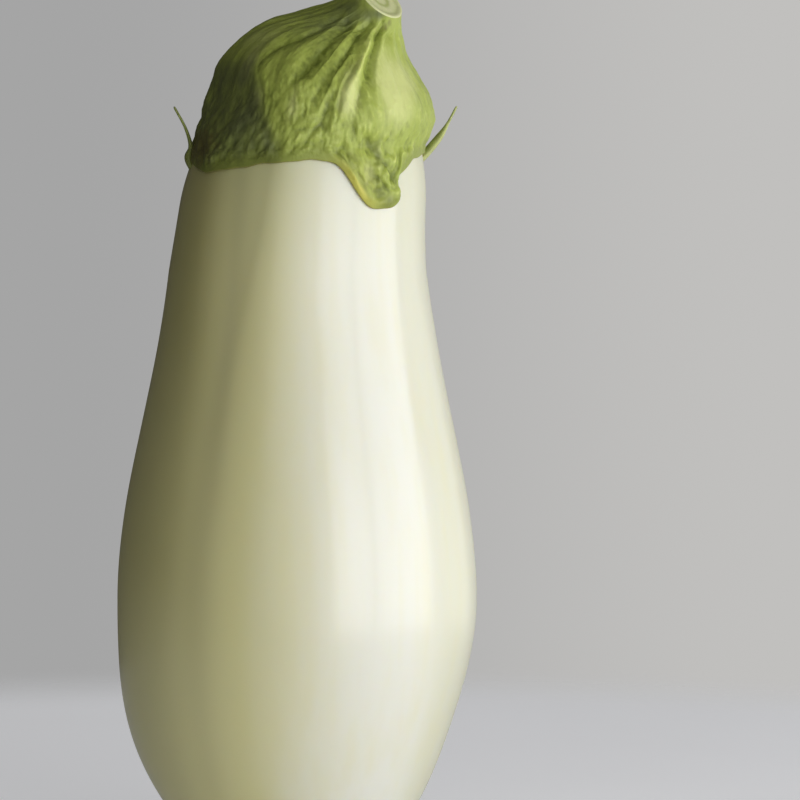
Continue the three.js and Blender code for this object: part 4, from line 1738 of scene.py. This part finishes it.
@dataclass
class Studio:
    """A pale table in front of a plain grey wall, lit from the right by soft window-like light."""

    frame_width: float = 0.16667
    distance: float = 1.05
    elevation: float = 4.0
    aim: tuple[float, float, float] = (0.02226, 0.0, 0.0985)
    table_radius: float = 0.35
    table_fade: float = 0.26
    table: str = "E4E5EA"
    table_cloud: str = "DADADD"
    table_sides: int = 96
    table_glow: float = 0.46
    wall_left: str = "A5A5A5"
    wall_right: str = "C1C0BE"
    wall_mirrored: float = 0.8
    ambient: float = 0.076
    ambient_tint: str = "EEEAD2"
    lit_point: tuple[float, float, float] = (0, 0, 0.09)
    lights: tuple[Softbox, ...] = (
        Softbox("window_wide_pane", 74, 3, 0.7, 0.54, 0.46, 3.05),
        Softbox("window_narrow_pane", 36, 3, 0.7, 0.32, 0.46, 3.4),
        Softbox("room_fill", 12, 18, 0.9, 1.0, 1.0, 0.66),
        Softbox("wall_bounce", 125, 4, 0.8, 0.5, 0.6, 0.75),
    )

    def build_camera(self) -> None:
        """Sets up the camera, level with the neck and a little above it."""
        camera = bpy.data.cameras.new("camera")
        camera.sensor_width = 36.0
        camera.lens = 36.0 * self.distance / self.frame_width
        viewer = bpy.data.objects.new("camera", camera)
        lift = math.radians(self.elevation)
        back = Vector((0, -math.cos(lift), math.sin(lift)))
        viewer.location = Vector(self.aim) + back * self.distance
        viewer.rotation_euler = back.to_track_quat("Z", "Y").to_euler()
        bpy.context.scene.collection.objects.link(viewer)
        bpy.context.scene.camera = viewer

    def table_finish(self) -> bpy.types.Material:
        """Matt painted table, which fades out softly towards its far edge."""
        material = bpy.data.materials.new("matt_painted_table")
        material.use_nodes = True
        tree = material.node_tree
        tree.nodes.clear()
        x, y, _ = place(tree)
        paint = Paint(tree, self.table)
        paint.lay(mottle(tree, (60, 60, 60)) * 0.25 + 0.5, self.table_cloud)
        seen = Field(tree, add_node(tree, "ShaderNodeLightPath").outputs["Is Camera Ray"])
        looks = {
            "Base Color": paint.colour,
            "Roughness": 0.7,
            "IOR": 1.45,
            "Emission Color": linear(self.table),
            "Emission Strength": (seen * 0.68 + 0.32) * self.table_glow,
        }
        shader = add_node(tree, "ShaderNodeBsdfPrincipled", looks)
        clear = add_node(tree, "ShaderNodeBsdfTransparent")
        share = rising(sqrt(x * x + y * y), self.table_fade, self.table_radius)
        mix = add_node(tree, "ShaderNodeMixShader", {0: share, 1: shader.outputs[0], 2: clear.outputs[0]})
        add_node(tree, "ShaderNodeOutputMaterial", {"Surface": mix.outputs[0]})
        return material

    def build_table(self) -> None:
        """Lays the table top as a disc whose top face is at height 0."""
        count = self.table_sides
        turn = np.linspace(0, 2 * math.pi, count, endpoint=False)
        ring = np.stack([np.sin(turn), -np.cos(turn), np.zeros(count)], axis=-1) * self.table_radius
        mesh = bpy.data.meshes.new("table")
        wedges = [(k, (k + 1) % count, count) for k in range(count)]
        mesh.from_pydata([*ring.tolist(), (0.0, 0.0, 0.0)], [], wedges)
        table = bpy.data.objects.new("table", mesh)
        bpy.context.scene.collection.objects.link(table)
        mesh.materials.append(self.table_finish())

    def build_surroundings(self) -> None:
        """Shows a grey wall all round, mirrored on the right, while the room gives only a little light."""
        world = bpy.data.worlds.new("room")
        bpy.context.scene.world = world
        world.use_nodes = True
        tree = world.node_tree
        tree.nodes.clear()
        rays = add_node(tree, "ShaderNodeLightPath").outputs
        ambient = {"Color": linear(self.ambient_tint), "Strength": self.ambient}
        dim = add_node(tree, "ShaderNodeBackground", ambient)
        heading = add_node(tree, "ShaderNodeTexCoord").outputs["Generated"]
        rightwards = Field(tree, add_node(tree, "ShaderNodeSeparateXYZ", {0: heading}).outputs["X"])
        paint = Paint(tree, self.wall_left)
        paint.lay(rising(rightwards, -0.07, 0.08), self.wall_right)
        wall = add_node(tree, "ShaderNodeBackground", {"Color": paint.colour, "Strength": 1.0})
        mirrored = Field(tree, rays["Is Glossy Ray"]) * rising(rightwards, -0.05, 0.35) * self.wall_mirrored
        shown = larger(Field(tree, rays["Is Camera Ray"]), mirrored)
        mix = add_node(tree, "ShaderNodeMixShader", {0: shown, 1: dim.outputs[0], 2: wall.outputs[0]})
        add_node(tree, "ShaderNodeOutputWorld", {"Surface": mix.outputs[0]})

    def build(self) -> None:
        """Builds the camera, the table, the surroundings and the lights."""
        self.build_camera()
        self.build_table()
        self.build_surroundings()
        for softbox in self.lights:
            softbox.build(Vector(self.lit_point))
        bpy.context.scene.view_settings.view_transform = "Standard"


def main() -> None:
    """Builds the studio, the fruit and the calyx, and says what each piece has."""
    logging.basicConfig(level=logging.INFO, format="%(name)s: %(message)s")
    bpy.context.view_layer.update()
    Studio().build()
    body = FruitBody()
    pieces = [body.build(), *CalyxCap(fruit=body.shape).build()]
    for piece in pieces:
        mesh = piece.data
        triangles = sum(len(face.vertices) - 2 for face in mesh.polygons)
        LOG.info("%s: %d points, %d triangles", piece.name, len(mesh.vertices), triangles)


if __name__ == "__main__":
    main()
